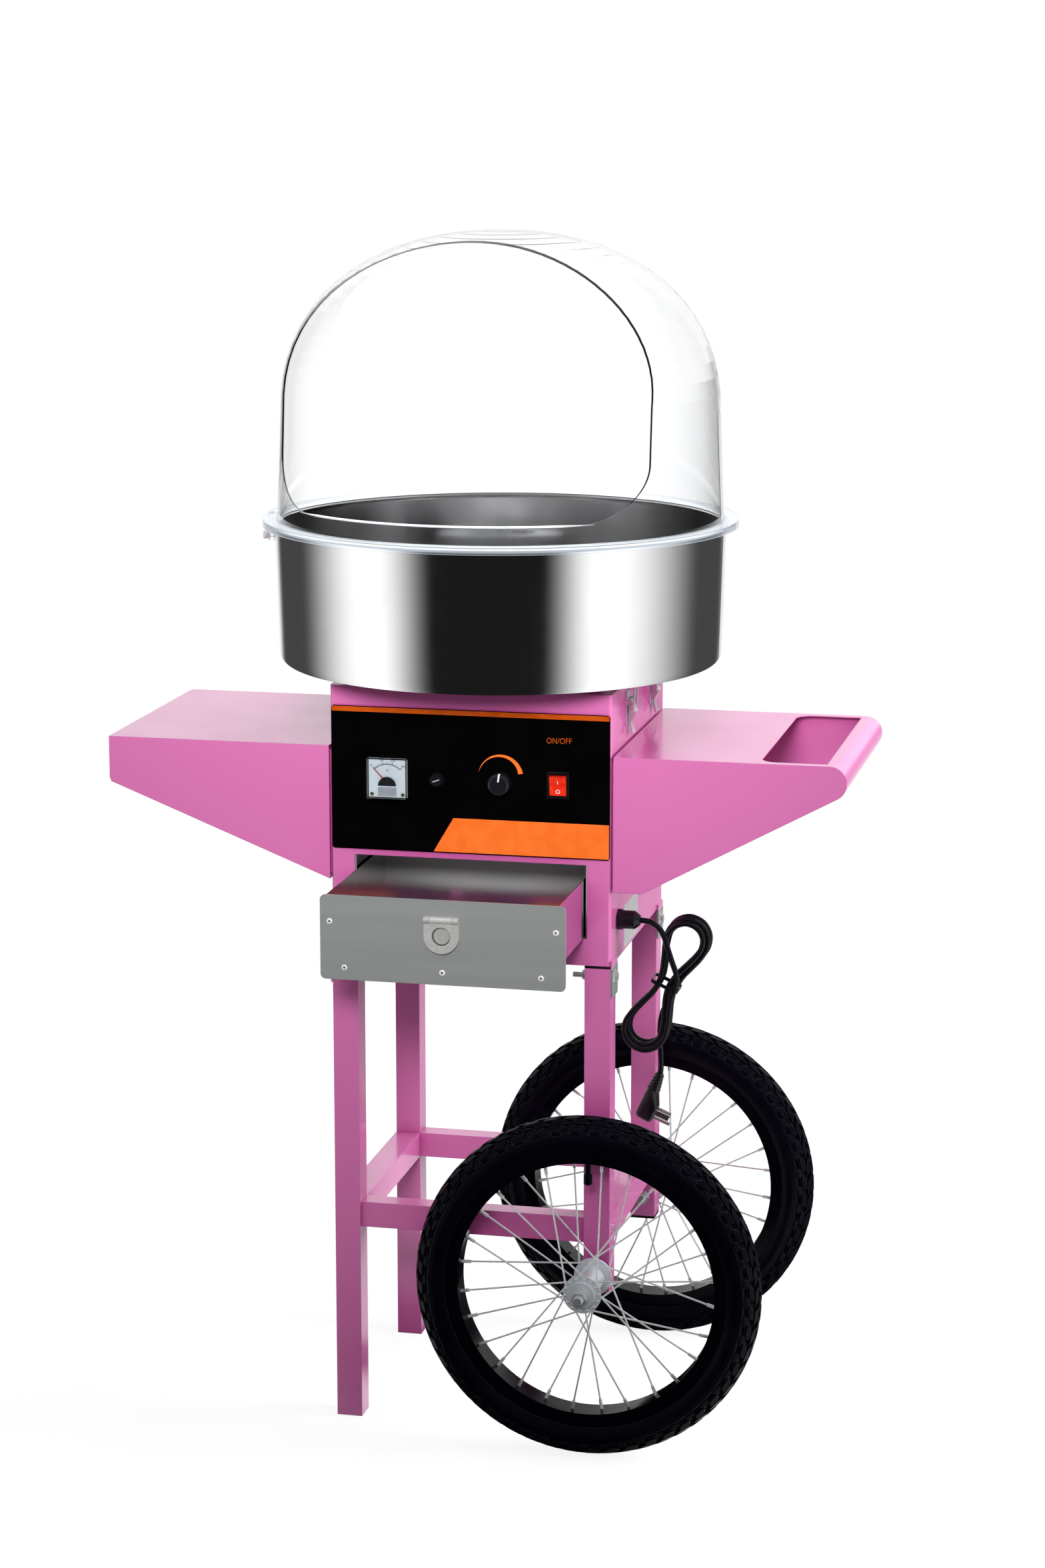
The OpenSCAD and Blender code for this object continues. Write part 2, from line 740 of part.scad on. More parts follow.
module meter_cover() color(clear) translate([meter_x, 0, control_z]) difference() {
  front_bar(panel_y, meter_depth) rounded_rect(meter_size, meter_size, 1.5);
  front_bar(panel_y + 1, meter_depth - cover_wall + 1) square(meter_size - 2 * cover_wall, center = true);
}

module meter_needle() color("red") translate([meter_x, 0, control_z - meter_pivot_drop]) {
  y0 = panel_y - meter_base - dial_t - 1.2;
  rotate([0, needle_rest, 0]) front_bar(y0, needle_t)
    polygon([[-0.9, -4], [0.9, -4], [0.35, needle_l], [-0.35, needle_l]]);
  rod_y(0, 0, y0 - needle_t, y0, 2);
  rod_y(0, 0, y0, panel_y - meter_base + 2.3, needle_pin_r);
}

module fuse_holder() color(black) translate([fuse_x, 0, control_z]) difference() {
  union() {
    rod_y(0, 0, panel_y - fuse_flange_t, panel_y, fuse_r);
    rod_y(0, 0, panel_y, panel_y + fuse_body_l, fuse_body_r);
  }
  rod_y(0, 0, panel_y - fuse_flange_t - 1, panel_y + fuse_body_l - 4, fuse_stem_r + run_fit);
}

module fuse_cap() color([0.15, 0.15, 0.16]) translate([fuse_x, 0, control_z]) {
  y0 = panel_y - fuse_flange_t - seat;
  difference() {
    rod_y(0, 0, y0 - fuse_cap_h, y0, fuse_cap_r);
    translate([0, y0 - fuse_cap_h, 0]) rotate([0, 20, 0]) cube([1.4, 2, 9], center = true);
  }
  rod_y(0, 0, y0, panel_y + fuse_body_l - 6, fuse_stem_r);
}

// The heat regulator's board on posts, and its turning regulator behind the panel
module control_board() {
  color([0.10, 0.35, 0.18]) translate([knob_x, -board_y, bay_top + bay_wall]) {
    for (sx = [-1, 1], sy = [-1, 1])
      translate([sx * (board_w / 2 - post_edge.x), sy * (board_d / 2 - post_edge.y), 0])
        cylinder(r = post_r, h = board_rise);
    translate([-board_w / 2, -board_d / 2, board_rise]) cube([board_w, board_d, board_t]);
    translate([0, 0, board_rise + board_t]) {
      translate([sink_edge - board_w / 2, -sink_size.y / 2, 0]) cube(sink_size);
      translate(capacitor_at) cylinder(r = capacitor_r, h = capacitor_h);
      translate(block_at) cube(block_size);
    }
  }
  color(steel) translate([knob_x, 0, control_z]) difference() {
    union() {
      rod_y(0, 0, wall_y, wall_y + pot_l, pot_r);
      rod_y(0, 0, panel_y - pot_bush_out, wall_y, pot_bush_r);
    }
    rod_y(0, 0, panel_y - pot_bush_out - 1, wall_y + pot_l - 2, knob_shaft_r + run_fit);
  }
}

module heat_knob() color(black) translate([knob_x, 0, control_z]) {
  y0 = panel_y - pot_bush_out - seat;
  translate([0, y0, 0]) rotate([90, 0, 0]) rotate_extrude() union() {
    square([knob_r, knob_depth - 4]);
    square([knob_r - 4, knob_depth]);
    intersection() {
      translate([knob_r - 4, knob_depth - 4]) circle(4);
      square([knob_r, knob_depth]);
    }
  }
  rod_y(0, 0, y0, y0 + knob_shaft_l, knob_shaft_r);
}

module switch_frame() color(black) translate([switch_x, 0, control_z]) difference() {
  union() {
    front_bar(panel_y, switch_flange_t) rounded_rect(switch_w, switch_h, 1.5);
    front_bar(panel_y + switch_body_l, switch_body_l) switch_hole(0);
  }
  front_bar(panel_y + switch_body_l - 6, 2 * switch_body_l)
    square([switch_w - 2 * switch_rim, switch_h - 2 * switch_rim], center = true);
  pin_x = switch_w / 2 - switch_wall - 0.4;
  rod_x(-pin_x, pin_x, panel_y + 1.4, 0, rocker_pin_r + run_fit);
}

// A rocker with two faces that meet at the middle; the lower face is pressed in
module switch_rocker() color("red") translate([switch_x, panel_y + 1.4, control_z]) {
  rotate([rocker_tilt, 0, 0]) translate([-rocker_w / 2, 0, 0]) rotate([90, 0, 90]) linear_extrude(rocker_w)
    polygon([[-rocker_proud - 1.5, rocker_half], [-rocker_proud, 0], [-rocker_proud - 1.5, -rocker_half],
             [2, -rocker_half + 0.6], [6, -4], [6, 4], [2, rocker_half - 0.6]]);
  rod_x(-switch_w / 2 + switch_wall + 0.6, switch_w / 2 - switch_wall - 0.6, 0, 0, rocker_pin_r);
}

// Drive

module motor() color([0.35, 0.36, 0.38]) difference() {
  union() {
    translate([0, 0, motor_top - motor_flange_t]) cylinder(r = motor_flange_r, h = motor_flange_t);
    translate([0, 0, motor_top - motor_flange_t - motor_l]) cylinder(r = motor_r, h = motor_l);
  }
  translate([0, 0, motor_top - shaft_in - 4]) cylinder(r = shaft_r + run_fit, h = shaft_in + 5);
}

module spinner_shaft() color(steel) translate([0, 0, motor_top - shaft_in])
  cylinder(r = shaft_r, h = shaft_top - motor_top + shaft_in);

module spinner_head() color(steel) difference() {
  translate([0, 0, head_z]) rotate_extrude() union() {
    square([head_r, head_wall]);
    translate([head_r - head_wall, 0]) square([head_wall, head_h]);
    translate([head_lid_r, head_h - head_wall]) square([head_r - head_lid_r, head_wall]);
    square([hub_r, head_h]);
  }
  cylinder(r = shaft_r + 0.02, h = 2 * bowl_z);
}

module heater_ring() color([0.45, 0.40, 0.36]) translate([0, 0, head_z + head_wall]) rotate_extrude()
  translate([head_r - head_wall - heater_gap - heater_t, 0]) square([heater_t, head_h - 3 * head_wall]);

// Bowl and dome

module bowl() color(steel) rotate_extrude($fn = 120) {
  arc = [for (a = [0 : 10 : 90]) [sin(a), 1 - cos(a)]];
  in_r = bowl_foot_r - bowl_wall;
  in_corner = bowl_corner_r - bowl_wall;
  flat_r = bowl_foot_r - bowl_corner_r;
  polygon(concat(
    [[shaft_hole_r, bowl_z]],
    [for (p = arc) [flat_r + bowl_corner_r * p.x, bowl_z + bowl_corner_r * p.y]],
    [[bowl_r, bead_z], [bowl_r - bowl_wall, bead_z]],
    [for (i = [len(arc) - 1 : -1 : 0])
      [in_r - in_corner + in_corner * arc[i].x, bowl_z + bowl_wall + in_corner * arc[i].y]],
    [[shaft_hole_r + collar_t, bowl_z + bowl_wall], [shaft_hole_r + collar_t, bowl_z + collar_h],
     [shaft_hole_r, bowl_z + collar_h]]));
  translate([bowl_r, bead_z]) circle(bead_r, $fn = 32);
}

// Outline of the dome's half section: side wall, then a crown of the given fullness
function crown(t) = [pow(cos(t), 2 / crown_power), pow(sin(t), 2 / crown_power)];
function dome_side(foot, r, h) = concat([[foot, dome_z]],
  [for (t = [0 : 5 : 85]) [r * crown(t).x, crown_z + h * crown(t).y]], [[0, crown_z + h]]);

module window() {
  corner_x = window_half - window_corner_r;
  sill = dome_z + window_sill;
  spring = dome_z + window_spring;
  polygon([for (t = [0 : 4 : 180]) [window_half * cos(t), spring + window_arch_h * sin(t)]]);
  translate([-window_half, sill + window_corner_r])
    square([2 * window_half, spring - sill - window_corner_r + 1]);
  translate([-corner_x, sill]) square([2 * corner_x, spring - sill]);
  for (s = [-1, 1]) translate([s * corner_x, sill + window_corner_r]) circle(window_corner_r);
}

module dome() color(clear) difference() {
  rotate_extrude($fn = 120) {
    difference() {
      polygon(concat([[0, dome_z]], dome_side(dome_foot_r, dome_r, crown_h)));
      foot = dome_foot_r - dome_wall;
      polygon(concat([[0, dome_z - 1], [foot, dome_z - 1]],
        dome_side(foot, dome_r - dome_wall, crown_h - dome_wall)));
    }
    translate([dome_foot_r - dome_wall, flange_z]) square([flange_r - dome_foot_r + dome_wall, flange_t]);
    translate([flange_r - lip_t, flange_z - lip_h]) square([lip_t, lip_h + flange_t]);
  }
  rotate([0, 0, dome_turn]) front_bar(-40, flange_r) window();
}

// Clear blocks under the flange, each with a thumb screw
module dome_clamps() for (a = clamp_angles) rotate([0, 0, a]) {
  z = flange_z - clamp_h;
  out = flange_r - lip_t - seat;
  color(clear) difference() {
    translate([out - clamp_t, -clamp_w / 2, z]) cube([clamp_t, clamp_w, clamp_h]);
    rod_x(clamp_in - 1, out + 1, 0, z + 7, clamp_screw_r + run_fit);
  }
  color(steel) {
    rod_x(out - clamp_t, out, 0, z + 7, clamp_screw_r);
    rod_x(out, out + clamp_knob_h, 0, z + 7, clamp_knob_r);
  }
}

// Bowl latches: a hook under the bowl, a base on the housing, a lever and a wire bail

module at_latch(sx, y) mirror([sx < 0 ? 1 : 0, 0, 0]) translate([half_w, y, body_top]) children();

module bowl_hooks() color(steel) for (sx = [-1, 1], y = latch_ys) at_latch(sx, y) {
  w = lever_w - 2;
  translate([hook_x, -w / 2, 0]) cube([plate_t, w, plinth_h]);
  translate([hook_x, -w / 2, 0]) cube([hook_reach, w, plate_t]);
}

module latch_bases() color(steel) for (sx = [-1, 1], y = latch_ys) at_latch(sx, y) {
  translate([0, -latch_plate_w / 2, -latch_plate_drop]) cube([plate_t, latch_plate_w, latch_plate_h]);
  for (s = [-1, 1]) translate([0, s * (ear_in + ear_t / 2) + ear_t / 2, 0]) difference() {
    front_bar(0, ear_t) union() {
      translate([0, -pivot_drop - 3]) square([pivot_x, 6]);
      translate([pivot_x, -pivot_drop]) circle(3);
    }
    rod_y(pivot_x, -pivot_drop, -ear_t - 1, 1, latch_pin_r + run_fit);
  }
}

module lever(sx, y) color(steel) at_latch(sx, y) {
  difference() {
    union() {
      front_bar(lever_w / 2, lever_w) {
        polygon([[2.4, -pivot_drop + 1], [5.4, -pivot_drop + 1.8], [9.4, -bail_drop + 2],
                 [10, -bail_drop - 1.5], [4.6, -46], [7.6, -59], [6.2, -60], [2.6, -46.5], [2.2, -41]]);
        translate([pivot_x, -pivot_drop]) circle(barrel_r);
        translate([bail_x, -bail_drop]) circle(barrel_r);
      }
      rod_y(pivot_x, -pivot_drop, -ear_in - ear_t, ear_in + ear_t, latch_pin_r);
    }
    rod_y(bail_x, -bail_drop, -lever_w, lever_w, wire_r + run_fit);
  }
}

module bail(sx, y) color(steel) at_latch(sx, y) {
  low = [bail_x, 0, -bail_drop];
  top = [bar_x, 0, bar_rise];
  for (s = [-1, 1]) {
    side = [0, s * bail_y, 0];
    rod_between(low + side, top + side, wire_r);
    rod_between(low + side, low + [0, s * (lever_w / 2 - 3), 0], wire_r);
    translate(low + side) sphere(wire_r, $fn = 24);
    translate(top + side) sphere(wire_r, $fn = 24);
  }
  rod_between(top - [0, bail_y, 0], top + [0, bail_y, 0], wire_r);
}

module front_right_lever() lever(1, latch_front_y);
module rear_right_lever() lever(1, latch_rear_y);
module front_left_lever() lever(-1, latch_front_y);
module rear_left_lever() lever(-1, latch_rear_y);
module front_right_bail() bail(1, latch_front_y);
module rear_right_bail() bail(1, latch_rear_y);
module front_left_bail() bail(-1, latch_front_y);
module rear_left_bail() bail(-1, latch_rear_y);

// Drawer

module drawer_tray() color(steel) {
  w = tray_w / 2;
  difference() {
    translate([-w, drawer_y, tray_z]) cube([tray_w, tray_l, tray_h]);
    translate([-w + tray_wall, drawer_y + tray_wall, tray_z + tray_wall])
      cube([tray_w - 2 * tray_wall, tray_l - 2 * tray_wall, tray_h]);
    for (p = front_screws) rod_y(p.x, front_z + p.y, drawer_y - 1, drawer_y + 3, screw_r + hole_fit);
  }
  difference() {
    slab(-w, w, drawer_y, drawer_y + tray_wall, tray_z - flange_drop, flange_drop + tray_wall);
    for (p = front_screws) rod_y(p.x, front_z + p.y, drawer_y - 1, drawer_y + 3, screw_r + hole_fit);
  }
}

module drawer_front() color([0.55, 0.56, 0.57]) front_bar(drawer_y, front_t) difference() {
  translate([0, front_z + front_h / 2]) rounded_rect(front_w, front_h, front_r);
  for (p = front_screws) translate([p.x, front_z + p.y]) circle(screw_r + hole_fit);
}

module drawer_screws() color(steel) for (p = front_screws) {
  rod_y(p.x, front_z + p.y, front_y - front_screw_h, front_y, front_screw_r);
  rod_y(p.x, front_z + p.y, front_y, drawer_y + tray_wall, screw_r);
}

module pull_outline() {
  r = pull_w / 2;
  translate([0, pull_z - 2]) circle(r);
  translate([-r, pull_z - 2]) square([pull_w, r + 2 - 2 * pull_barrel_r - 0.6]);
}

module pull_base() color(steel) {
  y_axis = front_y - pull_base_t - pull_axis;
  front_bar(front_y, pull_base_t) {
    pull_outline();
    translate([-pull_w / 2, pull_z]) square([pull_w, pull_w / 2]);
  }
  for (s = [-1, 1]) {
    x0 = s > 0 ? pull_neck / 2 + 0.4 : -pull_w / 2;
    rod_x(x0, x0 + pull_w / 2 - pull_neck / 2 - 0.4, y_axis, pull_hinge_z, pull_barrel_r);
    translate([x0, y_axis, pull_hinge_z - 2]) cube([pull_w / 2 - pull_neck / 2 - 0.4, pull_axis, 4]);
  }
  rod_x(-pull_neck / 2 - 1, pull_neck / 2 + 1, y_axis, pull_hinge_z, pull_pin_r);
}

module pull_ring() color(steel) {
  y_axis = front_y - pull_base_t - pull_axis;
  difference() {
    union() {
      front_bar(front_y - pull_base_t - pull_lift, pull_t) difference() {
        union() {
          pull_outline();
          translate([-pull_neck / 2, pull_z]) square([pull_neck, pull_hinge_z - pull_z]);
        }
        translate([0, pull_z - 2]) circle(pull_hole_r);
      }
      rod_x(-pull_neck / 2, pull_neck / 2, y_axis, pull_hinge_z, pull_barrel_r);
    }
    rod_x(-pull_w, pull_w, y_axis, pull_hinge_z, pull_pin_r + run_fit);
  }
}

// Shelves

module shelf_root() {
  slab(shelf_in, shelf_in + sheet, -half_d, half_d, shelf_low_z, shelf_root_h);
  pad_y = half_d - pad_inset;
  slab(half_w, shelf_in, -pad_y, pad_y, shelf_low_z + pad_inset, shelf_root_h - 2 * pad_inset);
}

module shelf_screw_holes() for (s = [-1, 1])
  rod_x(half_w - 1, shelf_in + 2 * sheet, s * shelf_screw_y, shelf_mid_z, screw_r + hole_fit);

module shelf_sides() for (y = [-half_d + sheet, half_d]) front_bar(y, sheet) children();

module left_shelf() color(pink) mirror([1, 0, 0]) difference() {
  union() {
    shelf_root();
    shelf_sides() polygon([[shelf_in, shelf_z], [shelf_out, shelf_z],
                           [shelf_out, shelf_z - shelf_end_h + 5], [shelf_out - 2, shelf_z - shelf_end_h],
                           [shelf_in, shelf_low_z]]);
    slab(shelf_in, shelf_out, -half_d, half_d, shelf_z - sheet, sheet);
    slab(shelf_out - sheet, shelf_out, -half_d, half_d, shelf_z - shelf_end_h + 5, shelf_end_h - 5);
  }
  shelf_screw_holes();
}

module right_shelf() color(pink) difference() {
  union() {
    shelf_root();
    shelf_sides() {
      polygon([[shelf_in, shelf_z], [roll_x, shelf_z], [roll_x, roll_z],
               [roll_x + roll_r * cos(roll_touch), roll_z + roll_r * sin(roll_touch)],
               [flat_x, shelf_low_z], [shelf_in, shelf_low_z]]);
      translate([roll_x, roll_z]) circle(roll_r);
    }
    slab(shelf_in, roll_x, -half_d, half_d, shelf_z - sheet, sheet);
    front_bar(half_d, body_d) intersection() {
      translate([roll_x, roll_z]) difference() {
        circle(roll_r);
        circle(roll_r - sheet);
      }
      translate([roll_x, roll_z - 2 * roll_r]) square(4 * roll_r);
    }
  }
  shelf_screw_holes();
  translate([roll_x - roll_strip - hand_w, 0, shelf_z - 2 * sheet]) linear_extrude(4 * sheet) hand_hole();
}

// The hand hole is square on the handle's side and rounded on the other
module hand_hole() {
  d = body_d - 2 * hand_inset;
  translate([hand_r, -d / 2]) square([hand_w - hand_r, d]);
  translate([0, -d / 2 + hand_r]) square([hand_w, d - 2 * hand_r]);
  for (s = [-1, 1]) translate([hand_r, s * (d / 2 - hand_r)]) circle(hand_r);
}

// Wheels: each is drawn about its own axle, with the outer side towards -y, then placed

module at_wheel(front) translate([leg_x, front ? -wheel_y : wheel_y, axle_z])
  mirror([0, front ? 0 : 1, 0]) children();

module spin_y() rotate([90, 0, 0]) rotate_extrude($fn = 120) children();

module tyre() color(black) {
  lip_r = rim_out_r + 0.3;
  spin_y() difference() {
    union() {
      intersection() {
        translate([tyre_mid_r, 0]) circle(tyre_r);
        translate([lip_r, -tyre_r]) square([tyre_r * 3, 2 * tyre_r]);
      }
      translate([bead_low, -bead_half]) square([lip_r - bead_low + 1, 2 * bead_half]);
    }
    intersection() {
      translate([tyre_mid_r, 0]) circle(tyre_r - tyre_wall);
      translate([lip_r + tyre_wall, -tyre_r]) square([tyre_r * 3, 2 * tyre_r]);
    }
    translate([bead_low - 1, -bead_half + tyre_wall])
      square([lip_r - bead_low + tyre_wall + 2, 2 * (bead_half - tyre_wall)]);
  }
  translate([0, 0, rim_floor - valve_l]) cylinder(r = valve_r, h = valve_l + 0.5);
}

module rim() color(black) difference() {
  spin_y() difference() {
    translate([rim_in_r, -rim_half]) square([rim_out_r - rim_in_r, 2 * rim_half]);
    translate([rim_floor, -rim_half + rim_t]) square([rim_out_r, 2 * (rim_half - rim_t)]);
  }
  cylinder(r = valve_r + run_fit, h = wheel_r);
}

// Half of the spokes leave each flange; neighbours lean opposite ways and pass on either side of the flange
module spokes() color(steel) for (i = [0 : spoke_count - 1]) {
  flange = i % 2 == 0 ? 1 : -1;
  lean = floor(i / 2) % 2 == 0 ? 1 : -1;
  rim_a = (i + 0.5) * 360 / spoke_count + 90;
  hub_a = rim_a + lean * 4 * 360 / spoke_count;
  from = [spoke_hub_r * cos(hub_a), flange * (hub_half + lean * spoke_side), spoke_hub_r * sin(hub_a)];
  to = [(rim_in_r + 1) * cos(rim_a), flange * spoke_rim_y, (rim_in_r + 1) * sin(rim_a)];
  rod_between(from, to, spoke_r);
  rod_between(to + nipple_l * unit(from - to), to, nipple_r);
}

module hub() color(steel) difference() {
  spin_y() {
    translate([0, -hub_end]) square([hub_r_mid, 2 * hub_end]);
    for (s = [-1, 1]) {
      translate([0, s * hub_half - hub_flange_t / 2]) square([hub_flange_r, hub_flange_t]);
      translate([0, s > 0 ? hub_half : -hub_end]) square([hub_end_r, hub_end - hub_half]);
    }
  }
  rod_y(0, 0, -hub_end - 1, hub_end + 1, axle_r + run_fit);
}

module front_tyre() at_wheel(true) tyre();
module rear_tyre() at_wheel(false) tyre();
module front_rim() at_wheel(true) rim();
module rear_rim() at_wheel(false) rim();
module front_spokes() at_wheel(true) spokes();
module rear_spokes() at_wheel(false) spokes();
module front_hub() at_wheel(true) hub();
module rear_hub() at_wheel(false) hub();

// Each axle is held in its leg by a collar and a nut, with a cone and a nut outside the hub
module axles() color(steel) for (front = [true, false]) at_wheel(front) {
  leg_face = wheel_gap;
  cone_y = -hub_end - seat;
  rod_y(0, 0, -axle_reach, leg_face + leg_size + axle_tail, axle_r);
  on_axle(hub_end + seat, leg_face) circle(cone_r);
  on_axle(leg_face + leg_size, leg_face + leg_size + axle_nut_h) circle(axle_nut_r, $fn = 6);
  on_axle(cone_y - axle_cone_h, cone_y) circle(cone_r);
  on_axle(cone_y - axle_cone_h - axle_nut_h, cone_y - axle_cone_h) circle(axle_nut_r, $fn = 6);
}

module on_axle(y0, y1) front_bar(y1, y1 - y0) difference() {
  children();
  circle(axle_r + 0.02);
}

// Mains lead

module cable_gland() color(black) translate([half_w, gland_y, gland_z]) rotate([0, 90, 0]) {
  translate([0, 0, -gland_thread_l]) cylinder(r = gland_thread_r, h = gland_thread_l);
  cylinder(r = gland_nut_r, h = gland_nut_l, $fn = 6);
  translate([0, 0, gland_nut_l]) cylinder(r = gland_body_r, h = gland_body_l);
  translate([0, 0, gland_nut_l + gland_body_l])
    cylinder(r1 = gland_body_r, r2 = cord_r + 2.5, h = gland_nose_l);
}

// The hank lies in the plane of its long axis and its width; loops wind down its right side first
function smooth(x) = let(c = min(1, max(0, x))) c * c * (3 - 2 * c);
function total(v, i = 0) = i < len(v) ? v[i] + total(v, i + 1) : 0;
function spiral(t) = let(f = t - floor(t)) floor(t) % 2 == 0 ? f : 1 - f;
function climb(t) = total([for (k = [1 : hank_turns - 1]) smooth(2 * (t - k) + 0.5)]);
function on_hank(up, out, back) = hank_mid + up * [sin(hank_tilt), 0, cos(hank_tilt)]
  + out * [cos(hank_tilt), 0, -sin(hank_tilt)] + back * [0, 1, 0];

// A quarter of a loop, as [up, out]: an arm that widens from the waist, then a quarter of a round fold
function quarter(f, w, n, h) = f < hank_arm
  ? [h * f / hank_arm, n + (w - n) * (1 - cos(180 * f / hank_arm)) / 2]
  : let(a = 90 * (f - hank_arm) / (1 - hank_arm)) [h + w * sin(a), w * cos(a)];
function hank_point(t) = let(q = floor(4 * t) % 4, f = 4 * t - floor(4 * t), o = hank_step * spiral(t),
    p = quarter(q % 2 == 0 ? f : 1 - f, hank_lobe - o, hank_waist - o, hank_half - hank_lobe))
  on_hank(q < 2 ? -p[0] : p[0], q == 0 || q == 3 ? p[1] : -p[1], hank_step * climb(t) - hank_depth / 2);
hank_start = on_hank(2 * cord_r, hank_waist, -hank_depth / 2);
hank_end = on_hank(-2 * cord_r, hank_waist, hank_depth / 2);
function hank_loops(n) = [for (i = [0 : hank_turns * n]) hank_point(min(i / n, hank_turns - 0.0001))];
hank_path = concat([hank_start], hank_loops(hank_rings), [hank_end]);

// Least distance between the skins of two stretches of the hank that aren't neighbours
gap_path = hank_loops(2 * hank_rings);
hank_gap = min([for (i = [0 : len(gap_path) - 9], j = [i + 8 : len(gap_path) - 1])
  norm(gap_path[i] - gap_path[j])]) - 2 * cord_r;
echo(hank_least_gap = hank_gap);

module power_cord() color(black) {
  tube(concat(lead_route, [hank_start]), cord_r, tube_sides);
  tube(concat([hank_end], tail_route, [plug_top]), cord_r, tube_sides);
}

module cord_hank() color(black) tube(hank_path, cord_r, hank_sides);

// A band round the hank's waist
module cord_tie() color(black) translate(hank_mid) rotate([0, hank_tilt, 0]) translate([0, 0, -tie_w / 2]) {
  half_x = hank_waist + cord_r + tie_gap;
  half_y = hank_depth / 2 + cord_r + tie_gap;
  linear_extrude(tie_w) difference() {
    rounded_rect(2 * (half_x + tie_t), 2 * (half_y + tie_t), cord_r + tie_t);
    rounded_rect(2 * half_x, 2 * half_y, cord_r);
  }
}

// An angled plug: a ribbed strain relief above, a rounded body, and blades that point sideways
module plug() translate(plug_top) rotate([0, plug_tilt, 0]) {
  color(black) {
    translate([0, 0, -relief_l]) cylinder(r1 = 7.5, r2 = cord_r + 1.2, h = relief_l);
    for (i = [0 : relief_ribs - 1])
      translate([0, 0, -4 - 4 * i]) cylinder(r = cord_r + 2.2 + 0.6 * i, h = 2);
    hull() for (y = [-1, 1]) {
      translate([0, y * 4, -relief_l - 2]) sphere(7, $fn = 20);
      translate([-2, y * 5, -relief_l - plug_l + 6]) sphere(6, $fn = 20);
      translate([8, y * 7, -relief_l - plug_l + 5]) sphere(5, $fn = 20);
      translate([10, y * 8, -relief_l - plug_l / 2 + 2]) sphere(3, $fn = 20);
    }
  }
  color(steel) {
    for (s = [-1, 1]) translate([10, s * blade_gap / 2 - blade_t / 2, -relief_l - plug_l / 2 - 6])
      cube([blade_l + 3, blade_t, blade_w]);
    rod_x(10, 13 + earth_l, 0, -relief_l - plug_l + 6, earth_r);
  }
}

module placed() translate([0, row_y, 0]) children();

placed() front_left_leg();
placed() rear_left_leg();
placed() front_right_leg();
placed() rear_right_leg();
placed() stretchers();
placed() leg_plugs();
placed() frame_screws();
placed() housing();
placed() top_deck();
placed() rear_cover();
placed() drawer_bay();
placed() control_panel();
placed() left_shelf();
placed() right_shelf();
placed() bowl();
placed() bowl_hooks();
placed() latch_bases();
placed() meter_case();
placed() meter_cover();
placed() meter_needle();
placed() fuse_holder();
placed() fuse_cap();
placed() control_board();
placed() heat_knob();
placed() switch_frame();
placed() switch_rocker();
placed() motor();
placed() spinner_shaft();
placed() spinner_head();
placed() heater_ring();
placed() drawer_tray();
placed() drawer_front();
placed() drawer_screws();
placed() pull_base();
placed() pull_ring();
placed() dome();
placed() dome_clamps();
placed() axles();
placed() front_tyre();
placed() front_rim();
placed() front_spokes();
placed() front_hub();
placed() rear_tyre();
placed() rear_rim();
placed() rear_spokes();
placed() rear_hub();
placed() front_right_lever();
placed() rear_right_lever();
placed() front_left_lever();
placed() rear_left_lever();
placed() front_right_bail();
placed() rear_right_bail();
placed() front_left_bail();
placed() rear_left_bail();
placed() cable_gland();
placed() power_cord();
placed() cord_hank();
placed() cord_tie();
placed() plug();
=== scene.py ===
import math

import bmesh
import bpy
import numpy as np
from mathutils import Matrix, Vector


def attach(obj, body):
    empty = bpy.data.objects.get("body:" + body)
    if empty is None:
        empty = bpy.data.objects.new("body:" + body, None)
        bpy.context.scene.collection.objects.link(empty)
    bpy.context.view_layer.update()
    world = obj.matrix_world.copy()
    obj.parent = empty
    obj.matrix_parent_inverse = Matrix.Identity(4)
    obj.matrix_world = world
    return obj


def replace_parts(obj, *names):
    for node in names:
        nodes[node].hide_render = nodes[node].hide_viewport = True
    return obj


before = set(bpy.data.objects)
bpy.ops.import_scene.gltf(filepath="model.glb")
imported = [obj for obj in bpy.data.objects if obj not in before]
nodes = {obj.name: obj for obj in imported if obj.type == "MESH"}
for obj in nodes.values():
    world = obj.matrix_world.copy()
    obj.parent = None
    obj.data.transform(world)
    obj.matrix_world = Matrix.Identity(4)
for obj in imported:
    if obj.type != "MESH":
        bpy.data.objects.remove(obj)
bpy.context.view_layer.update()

scene = bpy.context.scene
scene.view_settings.view_transform = "Standard"
# Shapes are worked out in millimetres from the bowl's axis; this is that axis in the row frame
ROW = np.array((0.0, 13.1, 0.0))
# Places that pieces and finishes share, in those millimetres; a wheel stands WHEEL_Y to each side
WHEEL_X, WHEEL_Y, WHEEL_Z = 147.5, 207, 200
PULL_Z = 621


def at(x, y, z):
    """A point given in millimetres from the bowl's axis, in metres in the row frame."""
    return Vector((np.array((x, y, z)) + ROW) / 1000)


# Camera


def make_camera():
    """The photograph's viewpoint: its lens, its place and the three directions of its picture."""
    data = bpy.data.cameras.new("camera")
    data.lens, data.sensor_width = 83.587, 36
    cam = bpy.data.objects.new("camera", data)
    scene.collection.objects.link(cam)
    right, up, back = (0.97595, 0.21797, 0), (-0.04364, 0.19540, 0.97975), (0.21356, -0.95619, 0.20022)
    place = Matrix((right, up, back)).transposed().to_4x4()
    place.translation = at(933.2, -4063.7, 1585.2)
    cam.matrix_world = place
    scene.camera = cam


make_camera()


# Shader helpers


def fill(tree, socket, value):
    """Links a socket or sets its value; colours may be given as three numbers."""
    if isinstance(value, bpy.types.NodeSocket):
        tree.links.new(value, socket)
    elif isinstance(value, tuple) and len(value) == 3 and socket.type == "RGBA":
        socket.default_value = (*value, 1)
    else:
        socket.default_value = value


